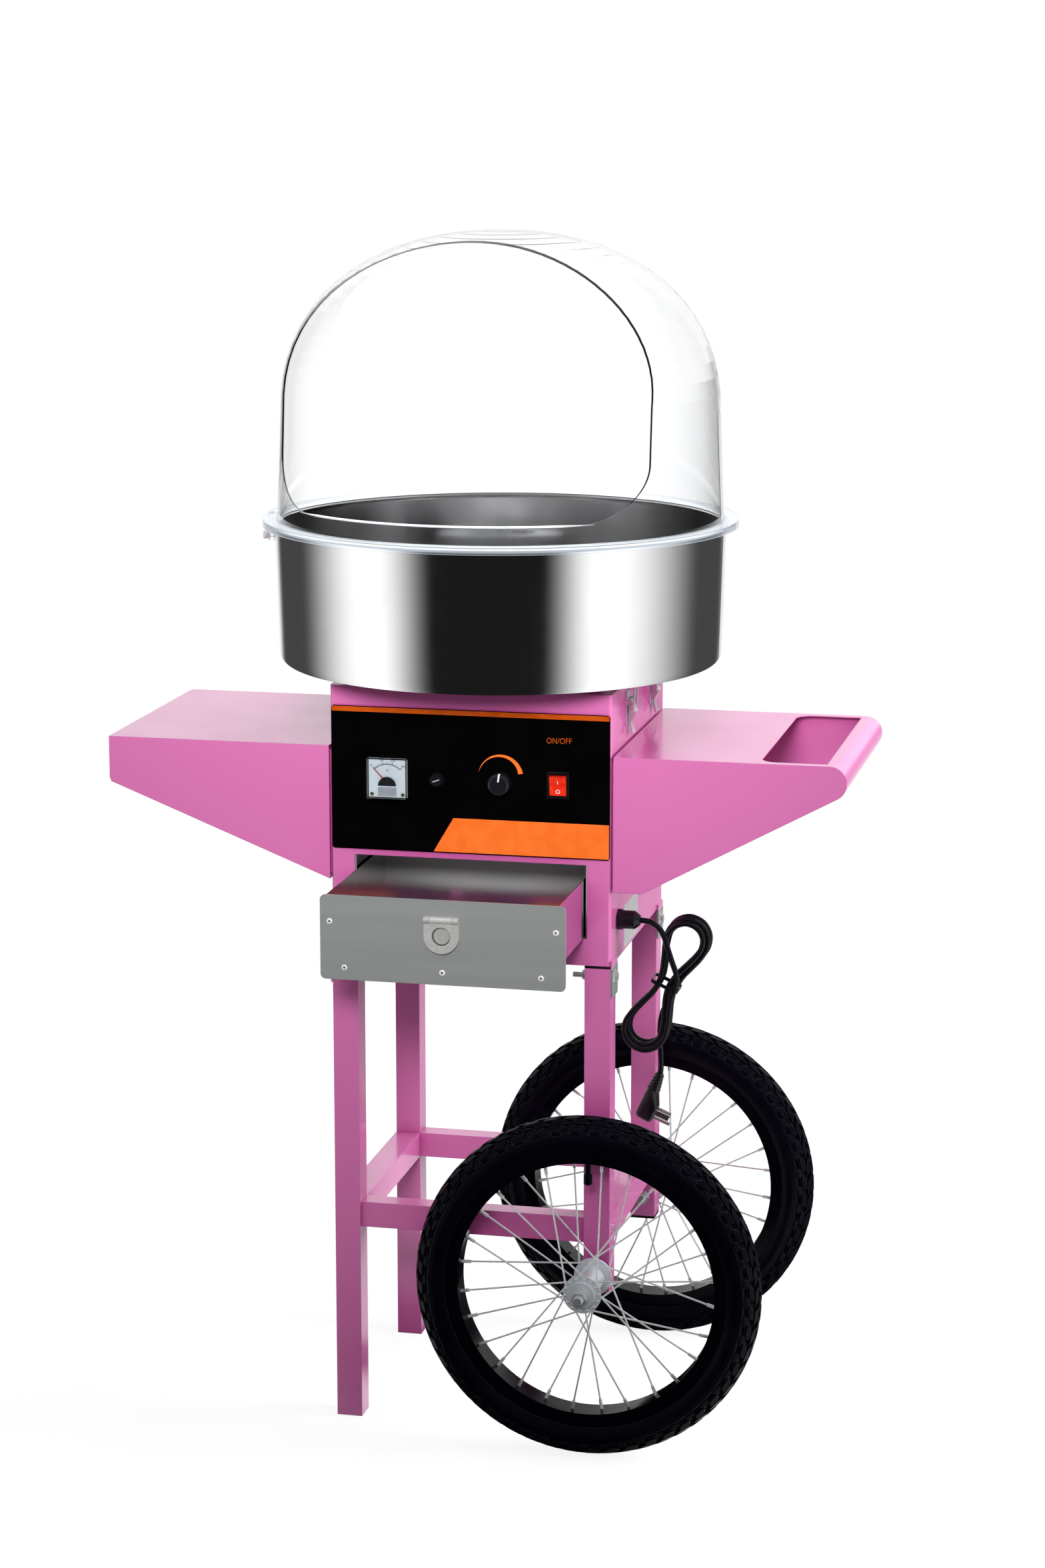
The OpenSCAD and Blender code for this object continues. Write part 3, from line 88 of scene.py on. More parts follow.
def add(tree, kind, out=0, **given):
    """A new node; each keyword is a socket to fill or link, or a property of the node."""
    n = tree.nodes.new(kind)
    for key, v in given.items():
        name = key.replace("_", " ")
        if key in n.bl_rna.properties and name not in n.inputs:
            setattr(n, key, v)
        else:
            fill(tree, n.inputs[name], v)
    return n.outputs[out]


def calc(tree, op, *values):
    """A sum, product or other step of reckoning over numbers and sockets."""
    n = tree.nodes.new("ShaderNodeMath")
    n.operation = op
    for i, v in enumerate(values):
        fill(tree, n.inputs[i], v)
    return n.outputs[0]


def span(tree, x, lo, hi, a=0.0, b=1.0):
    """Maps lo..hi to a..b, eased and clamped."""
    n = tree.nodes.new("ShaderNodeMapRange")
    n.interpolation_type = "SMOOTHSTEP"
    for i, v in enumerate((x, lo, hi, a, b)):
        fill(tree, n.inputs[i], v)
    return n.outputs[0]


def mix(tree, fac, a, b):
    """Blends colour a into colour b."""
    n = tree.nodes.new("ShaderNodeMix")
    n.data_type = "RGBA"
    for i, v in ((0, fac), (6, a), (7, b)):
        fill(tree, n.inputs[i], v)
    return n.outputs[2]


def parts_of(tree, vector):
    """The x, y and z of a vector."""
    n = tree.nodes.new("ShaderNodeSeparateXYZ")
    tree.links.new(vector, n.inputs[0])
    return n.outputs


# Shader node groups


def new_group(name, inputs, outputs):
    """A shader node group with named sockets; returns its tree, its way in and its way out."""
    tree = bpy.data.node_groups.new(name, "ShaderNodeTree")
    for label, kind, value in inputs:
        socket = tree.interface.new_socket(name=label, in_out="INPUT", socket_type="NodeSocket" + kind)
        if value is not None:
            socket.default_value = value
    for label, kind in outputs:
        tree.interface.new_socket(name=label, in_out="OUTPUT", socket_type="NodeSocket" + kind)
    return tree, tree.nodes.new("NodeGroupInput").outputs, tree.nodes.new("NodeGroupOutput").inputs


def group_grain():
    """Clouds or fine grain: noise, eased from Low to High into a mask."""
    t, i, o = new_group("grain", [("Vector", "Vector", None), ("Scale", "Float", 20.0), ("Detail", "Float", 3.0),
                                  ("Low", "Float", 0.3), ("High", "Float", 0.7)], [("Mask", "Float")])
    noise = add(t, "ShaderNodeTexNoise", Vector=i["Vector"], Scale=i["Scale"], Detail=i["Detail"], Roughness=0.55)
    t.links.new(span(t, noise, i["Low"], i["High"]), o["Mask"])
    return t


def group_edge_highlight():
    """Edges picked out for a painted highlight: where the rounded normal leaves the true one, broken by grain."""
    t, i, o = new_group("edge_highlight", [("Radius", "Float", 0.001), ("Grain", "Float", 1.0)], [("Mask", "Float")])
    soft = add(t, "ShaderNodeBevel", samples=4, Radius=i["Radius"])
    dot = add(t, "ShaderNodeVectorMath", out="Value", operation="DOT_PRODUCT")
    t.links.new(soft, dot.node.inputs[0])
    t.links.new(add(t, "ShaderNodeNewGeometry", out="Normal"), dot.node.inputs[1])
    edge = span(t, dot, 0.995, 0.80)
    t.links.new(calc(t, "MULTIPLY", edge, span(t, i["Grain"], 0.0, 1.0, 0.45, 1.0)), o["Mask"])
    return t


def group_skin():
    """The normal of a finished surface: edges rounded to a radius, then a fine height over them."""
    t, i, o = new_group("skin", [("Height", "Float", 0.5), ("Strength", "Float", 0.1), ("Distance", "Float", 0.0003),
                                 ("Radius", "Float", 0.0006)], [("Normal", "Vector")])
    soft = add(t, "ShaderNodeBevel", samples=4, Radius=i["Radius"])
    t.links.new(add(t, "ShaderNodeBump", Height=i["Height"], Strength=i["Strength"], Distance=i["Distance"],
                    Normal=soft), o["Normal"])
    return t


def group_turning_lines():
    """Fine rings left by turning or spinning: noise read only over the radius and the height about z."""
    t, i, o = new_group("turning_lines", [("Vector", "Vector", None), ("Scale", "Float", 600.0)], [("Mask", "Float")])
    x, y, z = parts_of(t, i["Vector"])
    r = calc(t, "SQRT", calc(t, "ADD", calc(t, "MULTIPLY", x, x), calc(t, "MULTIPLY", y, y)))
    where = add(t, "ShaderNodeCombineXYZ", X=r, Y=z, Z=0.0)
    t.links.new(add(t, "ShaderNodeTexNoise", Vector=where, Scale=i["Scale"], Detail=3.0, Roughness=0.6), o["Mask"])
    return t


def group_studio_bands():
    """The studio by its bearing, in degrees to the right of straight ahead: dark ahead, a tall white screen on each
    side, pale behind the cart."""
    ahead_x, ahead_y = 0.2180, -0.9760
    white, pale, grey, dark = 1.16, 0.9, 0.05, 0.010
    t, i, o = new_group("studio_bands", [("Vector", "Vector", None)], [("Level", "Float"), ("Turn", "Float")])
    x, y, _ = parts_of(t, i["Vector"])
    right = calc(t, "ADD", calc(t, "MULTIPLY", x, -ahead_y), calc(t, "MULTIPLY", y, ahead_x))
    front = calc(t, "ADD", calc(t, "MULTIPLY", x, ahead_x), calc(t, "MULTIPLY", y, ahead_y))
    turn = calc(t, "MULTIPLY", calc(t, "ARCTAN2", right, front), 180 / math.pi)
    box_r = calc(t, "MULTIPLY", span(t, turn, 20.7, 51.4), span(t, turn, 57.5, 123, 1.0, 0.0))
    box_l = calc(t, "MULTIPLY", span(t, turn, -66.8, -33.8, 1.0, 0.0), span(t, turn, -122.7, -71.4))
    rear = calc(t, "MULTIPLY", span(t, calc(t, "ABSOLUTE", turn), 150, 168), pale)
    far = calc(t, "MULTIPLY", span(t, calc(t, "ABSOLUTE", turn), 70, 110), grey)
    boxes = calc(t, "MULTIPLY", calc(t, "ADD", box_r, box_l), white)
    t.links.new(calc(t, "ADD", calc(t, "ADD", boxes, rear), calc(t, "ADD", far, dark)), o["Level"])
    t.links.new(turn, o["Turn"])
    return t


GROUPS = {"grain": group_grain(), "edge_highlight": group_edge_highlight(), "skin": group_skin(),
          "turning_lines": group_turning_lines(), "studio_bands": group_studio_bands()}


def use(tree, name, out=0, **given):
    """Places a group in a material with its own values."""
    n = tree.nodes.new("ShaderNodeGroup")
    n.node_tree = GROUPS[name]
    for key, v in given.items():
        fill(tree, n.inputs[key], v)
    return n.outputs[out]


class Paint:
    """A Principled material that reads the object's own coordinates."""

    def __init__(self, name, **sockets):
        self.m = bpy.data.materials.new(name)
        self.m.use_nodes = True
        self.t = self.m.node_tree
        self.p = self.t.nodes["Principled BSDF"]
        self.co = add(self.t, "ShaderNodeTexCoord", out="Object")
        self.put(**sockets)

    def put(self, **sockets):
        for key, v in sockets.items():
            fill(self.t, self.p.inputs[key.replace("_", " ")], v)

    def grain(self, scale, detail=3.0, low=0.35, high=0.65, stretch=None):
        co = add(self.t, "ShaderNodeMapping", Vector=self.co, Scale=stretch) if stretch else self.co
        return use(self.t, "grain", Vector=co, Scale=scale, Detail=detail, Low=low, High=high)

    def lines(self, scale, centre=(0, 0, 0), turned=(0, 0, 0)):
        co = add(self.t, "ShaderNodeMapping", vector_type="TEXTURE", Vector=self.co, Location=centre, Rotation=turned)
        return use(self.t, "turning_lines", Vector=co, Scale=scale)

    def tone(self, mask, a, b):
        return mix(self.t, mask, a, b)

    def rough(self, mask, a, b):
        self.put(Roughness=span(self.t, mask, 0.0, 1.0, a, b))

    # Mask of rounded edges, for a painted highlight
    def edge(self, radius, grain=1.0):
        return use(self.t, "edge_highlight", Radius=radius, Grain=grain)

    def skin(self, height, strength, distance=0.0003, radius=0.0006):
        self.put(Normal=use(self.t, "skin", Height=height, Strength=strength, Distance=distance, Radius=radius))


# Materials


def pink_paint():
    """Glossy pink, painted deeper in hollows and under overhangs as painted shade, and paler on edges as a painted
    highlight.
    """
    s = Paint("pink_paint", Coat_Weight=0.4, Coat_Roughness=0.05, IOR=1.5)
    cloud = s.grain(5, 2)
    body = s.tone(cloud, (0.725, 0.192, 0.470), (0.708, 0.184, 0.456))
    # Painted shade: hollows and places under overhangs, found by ambient occlusion, are painted a deeper pink
    ao_for_painted_shade = add(s.t, "ShaderNodeAmbientOcclusion", out="AO", samples=6, Distance=0.2)
    body = s.tone(span(s.t, ao_for_painted_shade, 0.25, 0.92, 1.0, 0.0), body, (0.44, 0.045, 0.25))
    # Painted highlight: edges are painted a paler pink
    s.put(Base_Color=s.tone(s.edge(0.0009, s.grain(200, 3)), body, (0.76, 0.25, 0.52)))
    s.rough(s.grain(14, 4), 0.23, 0.27)
    s.skin(s.grain(420, 2), 0.03, 0.0004, 0.0012)
    return s.m


def polished_bowl():
    """Mirror steel; the rolled lower corner mirrors as the upright wall above it does."""
    s = Paint("polished_bowl", Metallic=1.0)
    lines = s.lines(420, (0, ROW[1] / 1000, 0))
    smudge = s.grain(9, 4)
    s.put(Base_Color=s.tone(smudge, (0.93, 0.93, 0.935), (0.90, 0.90, 0.905)))
    s.rough(calc(s.t, "ADD", calc(s.t, "MULTIPLY", lines, 0.5), calc(s.t, "MULTIPLY", smudge, 0.5)), 0.07, 0.13)
    x, y, z = parts_of(s.t, use(s.t, "skin", Height=lines, Strength=0.015, Distance=0.0003, Radius=0.0008))
    upright = add(s.t, "ShaderNodeCombineXYZ", X=x, Y=y, Z=calc(s.t, "MAXIMUM", z, -0.02))
    s.put(Normal=add(s.t, "ShaderNodeVectorMath", operation="NORMALIZE", Vector=upright))
    return s.m


def steel(name, tint, low, high, centre, turned=(0, 0, 0), metal=1.0):
    """Bright steel with fine rings about a centre, clouded by smudges, with edges painted brighter as a highlight."""
    s = Paint(name, Metallic=metal)
    grain = s.lines(700, centre, turned)
    smudge = s.grain(9, 4)
    body = s.tone(smudge, tint, tuple(c * 0.94 for c in tint))
    # Painted highlight: rounded edges are painted brighter than the body
    s.put(Base_Color=s.tone(s.edge(0.0008, smudge), body, tuple(min(0.97, c * 1.08) for c in tint)))
    s.rough(calc(s.t, "ADD", calc(s.t, "MULTIPLY", grain, 0.5), calc(s.t, "MULTIPLY", smudge, 0.5)), low, high)
    s.skin(grain, 0.05, 0.0003, 0.0007)
    return s.m


def tray_steel():
    """Mirror-bright sheet; the wall that looks forwards is duller towards its upper middle, takes the light there and
    is painted paler there as a painted patch of light."""
    s = Paint("brushed_steel")
    grain = s.grain(60, 5, 0.3, 0.7, stretch=(0.05, 1, 1))
    x, _, z = parts_of(s.t, s.co)
    # Painted light: a paler, less metallic patch on the wall that looks forwards, strongest in the middle and towards
    # its top
    lit_patch = span(s.t, parts_of(s.t, add(s.t, "ShaderNodeNewGeometry", out="Normal"))[1], -0.6, -0.9)
    pool = span(s.t, calc(s.t, "ABSOLUTE", x), 0.02, 0.15, 1.0, 0.5)
    rise = span(s.t, z, 0.600, 0.632)
    lit_patch = calc(s.t, "MULTIPLY", calc(s.t, "MULTIPLY", lit_patch, pool), rise)
    sheet = s.tone(s.grain(9, 4), (0.78, 0.785, 0.79), (0.73, 0.738, 0.743))
    s.put(Base_Color=s.tone(lit_patch, sheet, (0.86, 0.86, 0.88)), Metallic=span(s.t, lit_patch, 0.0, 1.0, 1.0, 0.25))
    s.rough(grain, 0.06, 0.12)
    s.skin(grain, 0.02, 0.0003, 0.0007)
    return s.m


def zinc(name, dark, light, low, high, metal=0.8):
    """Plated or bare metal: fine grain between two tones, with edges painted brighter as a highlight."""
    s = Paint(name, Metallic=metal)
    grain = s.grain(260, 5)
    body = s.tone(grain, dark, light)
    # Painted highlight: rounded edges are painted near white
    s.put(Base_Color=s.tone(s.edge(0.0006, grain), body, (0.92, 0.92, 0.93)))
    s.rough(s.grain(60, 3), low, high)
    s.skin(grain, 0.10, 0.0003, 0.0006)
    return s.m


def dull_nickel():
    """The pull's backing: nickel, dark where the ring's hole meets it and shades it."""
    s = Paint("dull_nickel", Metallic=0.45)
    grain = s.grain(260, 5)
    x, _, z = parts_of(s.t, s.co)
    up = calc(s.t, "SUBTRACT", z, PULL_Z / 1000)
    away = calc(s.t, "SQRT", calc(s.t, "ADD", calc(s.t, "MULTIPLY", x, x), calc(s.t, "MULTIPLY", up, up)))
    nickel = s.tone(grain, (0.66, 0.66, 0.635), (0.72, 0.72, 0.695))
    shade = calc(s.t, "MULTIPLY", span(s.t, away, 0.0082, 0.0100), span(s.t, away, 0.0120, 0.0135, 1.0, 0.0))
    s.put(Base_Color=s.tone(shade, nickel, (0.10, 0.10, 0.095)))
    s.rough(s.grain(60, 3), 0.30, 0.40)
    s.skin(grain, 0.10, 0.0003, 0.0006)
    return s.m


def grey_plate():
    """Brushed grey sheet: grain drawn out from side to side, with edges painted paler as a highlight."""
    s = Paint("grey_plate", Metallic=0.35, IOR=1.5)
    grain = s.grain(60, 4, stretch=(0.06, 1, 1.6))
    body = s.tone(grain, (0.395, 0.410, 0.410), (0.410, 0.425, 0.425))
    # Painted highlight: rounded edges are painted a paler grey
    s.put(Base_Color=s.tone(s.edge(0.001, grain), body, (0.55, 0.56, 0.56)))
    s.rough(grain, 0.40, 0.46)
    s.skin(s.grain(1600, 2), 0.10, 0.0003, 0.0008)
    return s.m


def black(name, tone, low, high, grain_scale, depth, gloss=0.5, edge_lift=2.2, edge_tone=None, edge_radius=0.0007):
    """Black plastic or rubber: faint clouds, a fine moulded grain, and edges painted paler as a highlight, by a factor
    or to a tone of their own."""
    s = Paint(name, IOR=1.48, Specular_IOR_Level=gloss)
    body = s.tone(s.grain(25, 3), tone, tuple(c * 1.4 for c in tone))
    # Painted highlight: rounded edges are painted paler than the body
    s.put(Base_Color=s.tone(s.edge(edge_radius, s.grain(140, 3)), body, edge_tone or tuple(c * edge_lift for c in tone)))
    s.rough(s.grain(35, 4), low, high)
    s.skin(s.grain(grain_scale, 4), depth, 0.0003, 0.0006)
    return s.m


def clear_dome():
    """Clear acrylic; its flange is frosted, tinted blue and has a faint painted glow."""
    s = Paint("clear_dome", Transmission_Weight=1.0, IOR=1.32, Specular_IOR_Level=0.4)
    haze = s.grain(7, 5)
    wall = s.tone(haze, (0.992, 0.995, 1.0), (0.984, 0.989, 0.996))
    flange_top, blend = 1.0484, 0.0006
    low = span(s.t, parts_of(s.t, s.co)[2], flange_top, flange_top + blend, 1.0, 0.0)
    s.put(Base_Color=s.tone(low, wall, (0.93, 0.965, 0.995)))
    frost = calc(s.t, "MULTIPLY", low, 0.16)
    s.put(Roughness=calc(s.t, "ADD", frost, calc(s.t, "MULTIPLY", s.grain(18, 5), 0.025)))
    # Painted light: the flange glows faintly though it is no lamp
    s.put(Emission_Color=s.tone(low, (0.0, 0.0, 0.0), (0.055, 0.062, 0.070)), Emission_Strength=1.0)
    s.skin(s.grain(3.2, 2), 0.03, 0.003, 0.0004)
    return s.m


def clear_plastic():
    """Clear plastic with a little haze."""
    s = Paint("clear_plastic", Transmission_Weight=1.0, IOR=1.47)
    s.put(Base_Color=s.tone(s.grain(40, 4), (0.985, 0.99, 1.0), (0.96, 0.975, 0.99)))
    s.rough(s.grain(60, 4), 0.0, 0.04)
    s.skin(s.grain(30, 2), 0.03, 0.0006, 0.0005)
    return s.m


def plain(name, tone, other, scale, low, high, depth=0.05, metal=0.0, gloss=0.5):
    """A plain finish: grain between two tones, with finer grain in its roughness and in its surface."""
    s = Paint(name, Metallic=metal, Specular_IOR_Level=gloss)
    s.put(Base_Color=s.tone(s.grain(scale, 4), tone, other))
    s.rough(s.grain(scale * 1.7, 3), low, high)
    s.skin(s.grain(scale * 6, 3), depth, 0.0003, 0.0004)
    return s.m


def meter_shell():
    """The meter's face and front base are white, with a faint light of their own for what the clear cover lets in; its
    barrel and studs behind the panel are black."""
    s = Paint("meter_shell", IOR=1.49)
    base_back, blend = -0.14845, 0.00006
    front = span(s.t, parts_of(s.t, s.co)[1], base_back, base_back + blend, 1.0, 0.0)
    white = s.tone(s.grain(90, 4), (0.80, 0.87, 0.93), (0.86, 0.92, 0.97))
    s.put(Base_Color=s.tone(front, (0.012, 0.012, 0.014), white))
    s.put(Emission_Color=s.tone(front, (0.0, 0.0, 0.0), (0.20, 0.234, 0.26)), Emission_Strength=1.0)
    s.rough(s.grain(150, 3), 0.42, 0.56)
    s.skin(s.grain(500, 3), 0.05, 0.0003, 0.0004)
    return s.m


def rocker_red():
    """Glossy red that lets light into it and has a faint light of its own."""
    s = Paint("rocker_red", Coat_Weight=0.6, Coat_Roughness=0.05, Subsurface_Weight=0.2, IOR=1.5)
    s.put(Subsurface_Radius=(0.004, 0.0008, 0.0006), Subsurface_Scale=1.0)
    s.put(Base_Color=s.tone(s.grain(120, 3), (0.80, 0.018, 0.008), (0.88, 0.045, 0.012)))
    s.put(Emission_Color=s.tone(s.grain(60, 2), (1.0, 0.05, 0.01), (0.9, 0.03, 0.01)), Emission_Strength=0.05)
    s.rough(s.grain(80, 3), 0.14, 0.22)
    s.skin(s.grain(700, 2), 0.03, 0.0002, 0.0005)
    return s.m


def plug_rubber():
    """Black moulding, with nickel blades where the plug reaches past its front face."""
    s = Paint("plug_rubber", IOR=1.5)
    dot = add(s.t, "ShaderNodeVectorMath", out="Value", operation="DOT_PRODUCT")
    fill(s.t, dot.node.inputs[0], s.co)
    plug_axis, front_face, blend = (0.9272, 0.0, -0.3746), 0.0480, 0.0003
    dot.node.inputs[1].default_value = plug_axis
    blade = span(s.t, dot, front_face, front_face + blend)
    rubber = s.tone(s.grain(60, 4), (0.0035, 0.0035, 0.0055), (0.007, 0.007, 0.010))
    s.put(Base_Color=s.tone(blade, rubber, (0.80, 0.78, 0.74)), Metallic=blade)
    s.rough(s.grain(50, 4), 0.24, 0.36)
    s.skin(s.grain(1100, 3), 0.08, 0.0003, 0.0006)
    return s.m


BOWL_AXIS = (0, ROW[1] / 1000, 0)
AXLE, AXLE_TURN = (WHEEL_X / 1000, 0, WHEEL_Z / 1000), (math.pi / 2, 0, 0)
M = {
    "pink_paint": pink_paint(),
    "polished_bowl": polished_bowl(),
    "black_plastic": black("black_plastic", (0.0045, 0.0040, 0.0060), 0.26, 0.38, 700, 0.06, gloss=0.35),
    "knob_black": black("knob_black", (0.007, 0.007, 0.011), 0.20, 0.30, 900, 0.04),
    "panel_black": black("panel_black", (0.0010, 0.0010, 0.0011), 0.16, 0.22, 1200, 0.015, gloss=0.06, edge_lift=1.5),
    "zinc": zinc("zinc", (0.68, 0.70, 0.72), (0.84, 0.85, 0.86), 0.26, 0.38),
    "satin_nickel": zinc("satin_nickel", (0.80, 0.80, 0.77), (0.88, 0.88, 0.85), 0.30, 0.40, 0.5),
    "dull_nickel": dull_nickel(),
    "rivet_white": zinc("rivet_white", (0.90, 0.90, 0.91), (0.95, 0.95, 0.96), 0.26, 0.36, 0.15),
    "spoke_steel": zinc("spoke_steel", (0.84, 0.85, 0.86), (0.92, 0.92, 0.93), 0.24, 0.36, 0.6),
    "hub_steel": steel("hub_steel", (0.76, 0.81, 0.85), 0.26, 0.36, AXLE, AXLE_TURN, 0.42),
    "brushed_steel": tray_steel(),
    "spun_steel": steel("spun_steel", (0.80, 0.81, 0.82), 0.18, 0.28, BOWL_AXIS),
    "grey_plate": grey_plate(),
    "clear_dome": clear_dome(),
    "clear_plastic": clear_plastic(),
    "meter_shell": meter_shell(),
    "meter_white": plain("meter_white", (0.82, 0.88, 0.94), (0.90, 0.94, 0.98), 90, 0.45, 0.6),
    "rocker_red": rocker_red(),
    "needle_red": plain("needle_red", (0.70, 0.03, 0.02), (0.80, 0.05, 0.03), 300, 0.35, 0.5),
    "board_green": plain("board_green", (0.012, 0.10, 0.035), (0.02, 0.15, 0.05), 300, 0.3, 0.45),
    "motor_grey": plain("motor_grey", (0.10, 0.105, 0.115), (0.14, 0.145, 0.155), 120, 0.35, 0.5, metal=0.6),
    "heater": plain("heater", (0.17, 0.14, 0.11), (0.25, 0.20, 0.15), 200, 0.4, 0.6, metal=0.8),
    "black_rim": black("black_rim", (0.0012, 0.0012, 0.0028), 0.10, 0.16, 500, 0.02, gloss=0.07),
    # Painted highlight: the tread blocks' edges are painted dark grey to pick them out
    "tyre_rubber": black("tyre_rubber", (0.0010, 0.0011, 0.0034), 0.24, 0.34, 900, 0.05, gloss=0.08,
                         edge_tone=(0.034, 0.035, 0.044), edge_radius=0.0013),
    "cord_rubber": black("cord_rubber", (0.0032, 0.0032, 0.0050), 0.20, 0.30, 1100, 0.06, gloss=0.3, edge_lift=1.4),
    "plug_rubber": plug_rubber(),
    "orange_print": plain("orange_print", (0.96, 0.165, 0.020), (1.0, 0.20, 0.030), 60, 0.34, 0.46, gloss=0.2),
    "orange_strip": plain("orange_strip", (0.44, 0.062, 0.004), (0.56, 0.085, 0.006), 40, 0.30, 0.42, gloss=0.2),
    "label_foil": plain("label_foil", (0.66, 0.66, 0.68), (0.69, 0.69, 0.71), 70, 0.30, 0.34, 0.02, metal=0.4),
    "ink": plain("ink", (0.012, 0.012, 0.014), (0.03, 0.03, 0.035), 400, 0.45, 0.6),
    "white_print": plain("white_print", (0.86, 0.87, 0.88), (0.92, 0.93, 0.94), 300, 0.35, 0.5),
    "brass": plain("brass", (0.55, 0.44, 0.24), (0.68, 0.56, 0.34), 400, 0.2, 0.35, metal=1.0),
    # Painted highlight: a pale, opaque tone for the window's lower cut edge
    "lit_window_edge": plain("lit_window_edge", (0.84, 0.88, 0.92), (0.93, 0.95, 0.97), 160, 0.2, 0.35),
}


def dress(material, *names):
    """Gives a material to pieces of the frame."""
    for n in names:
        nodes[n].material_slots[0].material = M[material]


LATCHES = ("front_right", "rear_right", "front_left", "rear_left")
dress("pink_paint", "front_left_leg", "rear_left_leg", "front_right_leg", "rear_right_leg", "stretchers", "housing",
      "top_deck", "rear_cover", "left_shelf", "right_shelf")
dress("black_plastic", "leg_plugs", "fuse_holder", "switch_frame", "cable_gland", "cord_tie")
dress("knob_black", "heat_knob", "fuse_cap")
dress("panel_black", "control_panel")
dress("zinc", "frame_screws", "axles", "bowl_hooks", "latch_bases",
      *[f"{a}_{b}" for a in LATCHES for b in ("lever", "bail")])
dress("rivet_white", "drawer_screws")
dress("satin_nickel", "pull_ring")
dress("dull_nickel", "pull_base")
dress("spoke_steel", "front_spokes", "rear_spokes")
dress("hub_steel", "front_hub", "rear_hub")
dress("polished_bowl", "bowl")
dress("brushed_steel", "drawer_bay", "drawer_tray")
dress("spun_steel", "spinner_shaft", "spinner_head")
dress("grey_plate", "drawer_front")
dress("clear_dome", "dome")
dress("clear_plastic", "dome_clamps", "meter_cover")
dress("meter_shell", "meter_case")
dress("rocker_red", "switch_rocker")
dress("needle_red", "meter_needle")
dress("board_green", "control_board")
dress("motor_grey", "motor")
dress("heater", "heater_ring")
dress("black_rim", "front_rim", "rear_rim")
dress("tyre_rubber", "front_tyre", "rear_tyre")
dress("cord_rubber", "power_cord", "cord_hank")
dress("plug_rubber", "plug")


# Shape helpers: a shell is its points (n, 3), its four-cornered faces (m, 4) and a list of flat end caps


def unit(v):
    """Directions: vectors divided by their length."""
    v = np.asarray(v, float)
    return v / np.linalg.norm(v, axis=-1, keepdims=True)


def grid(points, round_rows=False, round_cols=False):
    """A shell over a grid of points (rows, columns, 3); rows or columns may close on themselves."""
    rows, cols = points.shape[:2]
    i, j = np.meshgrid(np.arange(rows - (not round_rows)), np.arange(cols - (not round_cols)), indexing="ij")
    a, b = (i + 1) % rows, (j + 1) % cols
    quads = np.stack([i * cols + j, i * cols + b, a * cols + b, a * cols + j], -1).reshape(-1, 4)
    return points.reshape(-1, 3), quads, []


def capped(points, whole=False):
    """Sections (count, corners, 3) carried along a path; the ends are closed unless the path is whole."""
    count, corners = points.shape[:2]
    p, q, _ = grid(points, round_rows=whole, round_cols=True)
    ends = [] if whole else [np.arange(corners), np.arange(corners) + (count - 1) * corners]
    return p, q, ends


def plate(outline, low, high, axis=1):
    """A flat plate: its outline (n, 2) in the two other axes is carried from low to high along the axis."""
    outline = np.asarray(outline, float)
    return capped(np.stack([np.insert(outline, axis, v, axis=1) for v in (low, high)]))


def rounded(w, h, r, x=0.0, z=0.0, n=6):
    """Outline of a rectangle with round corners: quarter turns of radius r about the four inset corners."""
    t = np.radians(np.arange(4)[:, None] * 90 + np.linspace(0, 90, n + 1)[None])
    cx = np.array((1, -1, -1, 1))[:, None] * (w / 2 - r)
    cz = np.array((1, 1, -1, -1))[:, None] * (h / 2 - r)
    return np.stack([x + cx + r * np.cos(t), z + cz + r * np.sin(t)], -1).reshape(-1, 2)


def turned(profile, origin, axis, sides=48, ripple=0.0, teeth=24):
    """A turned form: a profile of radius and height carried round an axis; a ripple of so many teeth may knurl it."""
    axis = unit(axis)
    u = unit(np.cross(axis, (0.31, 0.87, 0.41)))
    v = np.cross(axis, u)
    t = np.linspace(0, 2 * np.pi, sides, endpoint=False)[:, None, None]
    r, h = np.asarray(profile, float).T[:, None, :, None]
    r = r * (1 + ripple * np.cos(teeth * t))
    return grid(np.asarray(origin, float) + r * (np.cos(t) * u + np.sin(t) * v) + h * axis, round_rows=True)


def stamped(shell, places):
    """The same shell at many places, each an offset."""
    points, quads, caps = shell
    steps = np.arange(len(places)) * len(points)
    return ((points[None] + np.asarray(places, float)[:, None]).reshape(-1, 3),
            (quads[None] + steps[:, None, None]).reshape(-1, 4), [c + s for s in steps for c in caps])


def tube(path, radius, across=(0, 0, 1), sides=10):
    """A round bar: circles square to the path, turned by the direction across; the radius may change along it."""
    path = np.asarray(path, float)
    d = unit(np.gradient(path, axis=0))
    u = unit(np.cross(d, across))
    v = np.cross(d, u)
    t = np.linspace(0, 2 * np.pi, sides, endpoint=False)[None, :, None]
    r = np.broadcast_to(radius, len(path))[:, None, None]
    return capped(path[:, None] + r * (np.cos(t) * u[:, None] + np.sin(t) * v[:, None]))


def bars(corners, low, high):
    """Many small plates at once: corners (k, 4, 2) in x and z, each from low to high in y."""
    points = np.stack([np.insert(corners, 1, y, axis=2) for y in (low, high)], 1).reshape(-1, 3)
    box = np.array([[0, 1, 2, 3], [7, 6, 5, 4], [0, 4, 5, 1], [1, 5, 6, 2], [2, 6, 7, 3], [3, 7, 4, 0]])
    return points, (box[None] + 8 * np.arange(len(corners))[:, None, None]).reshape(-1, 4), []


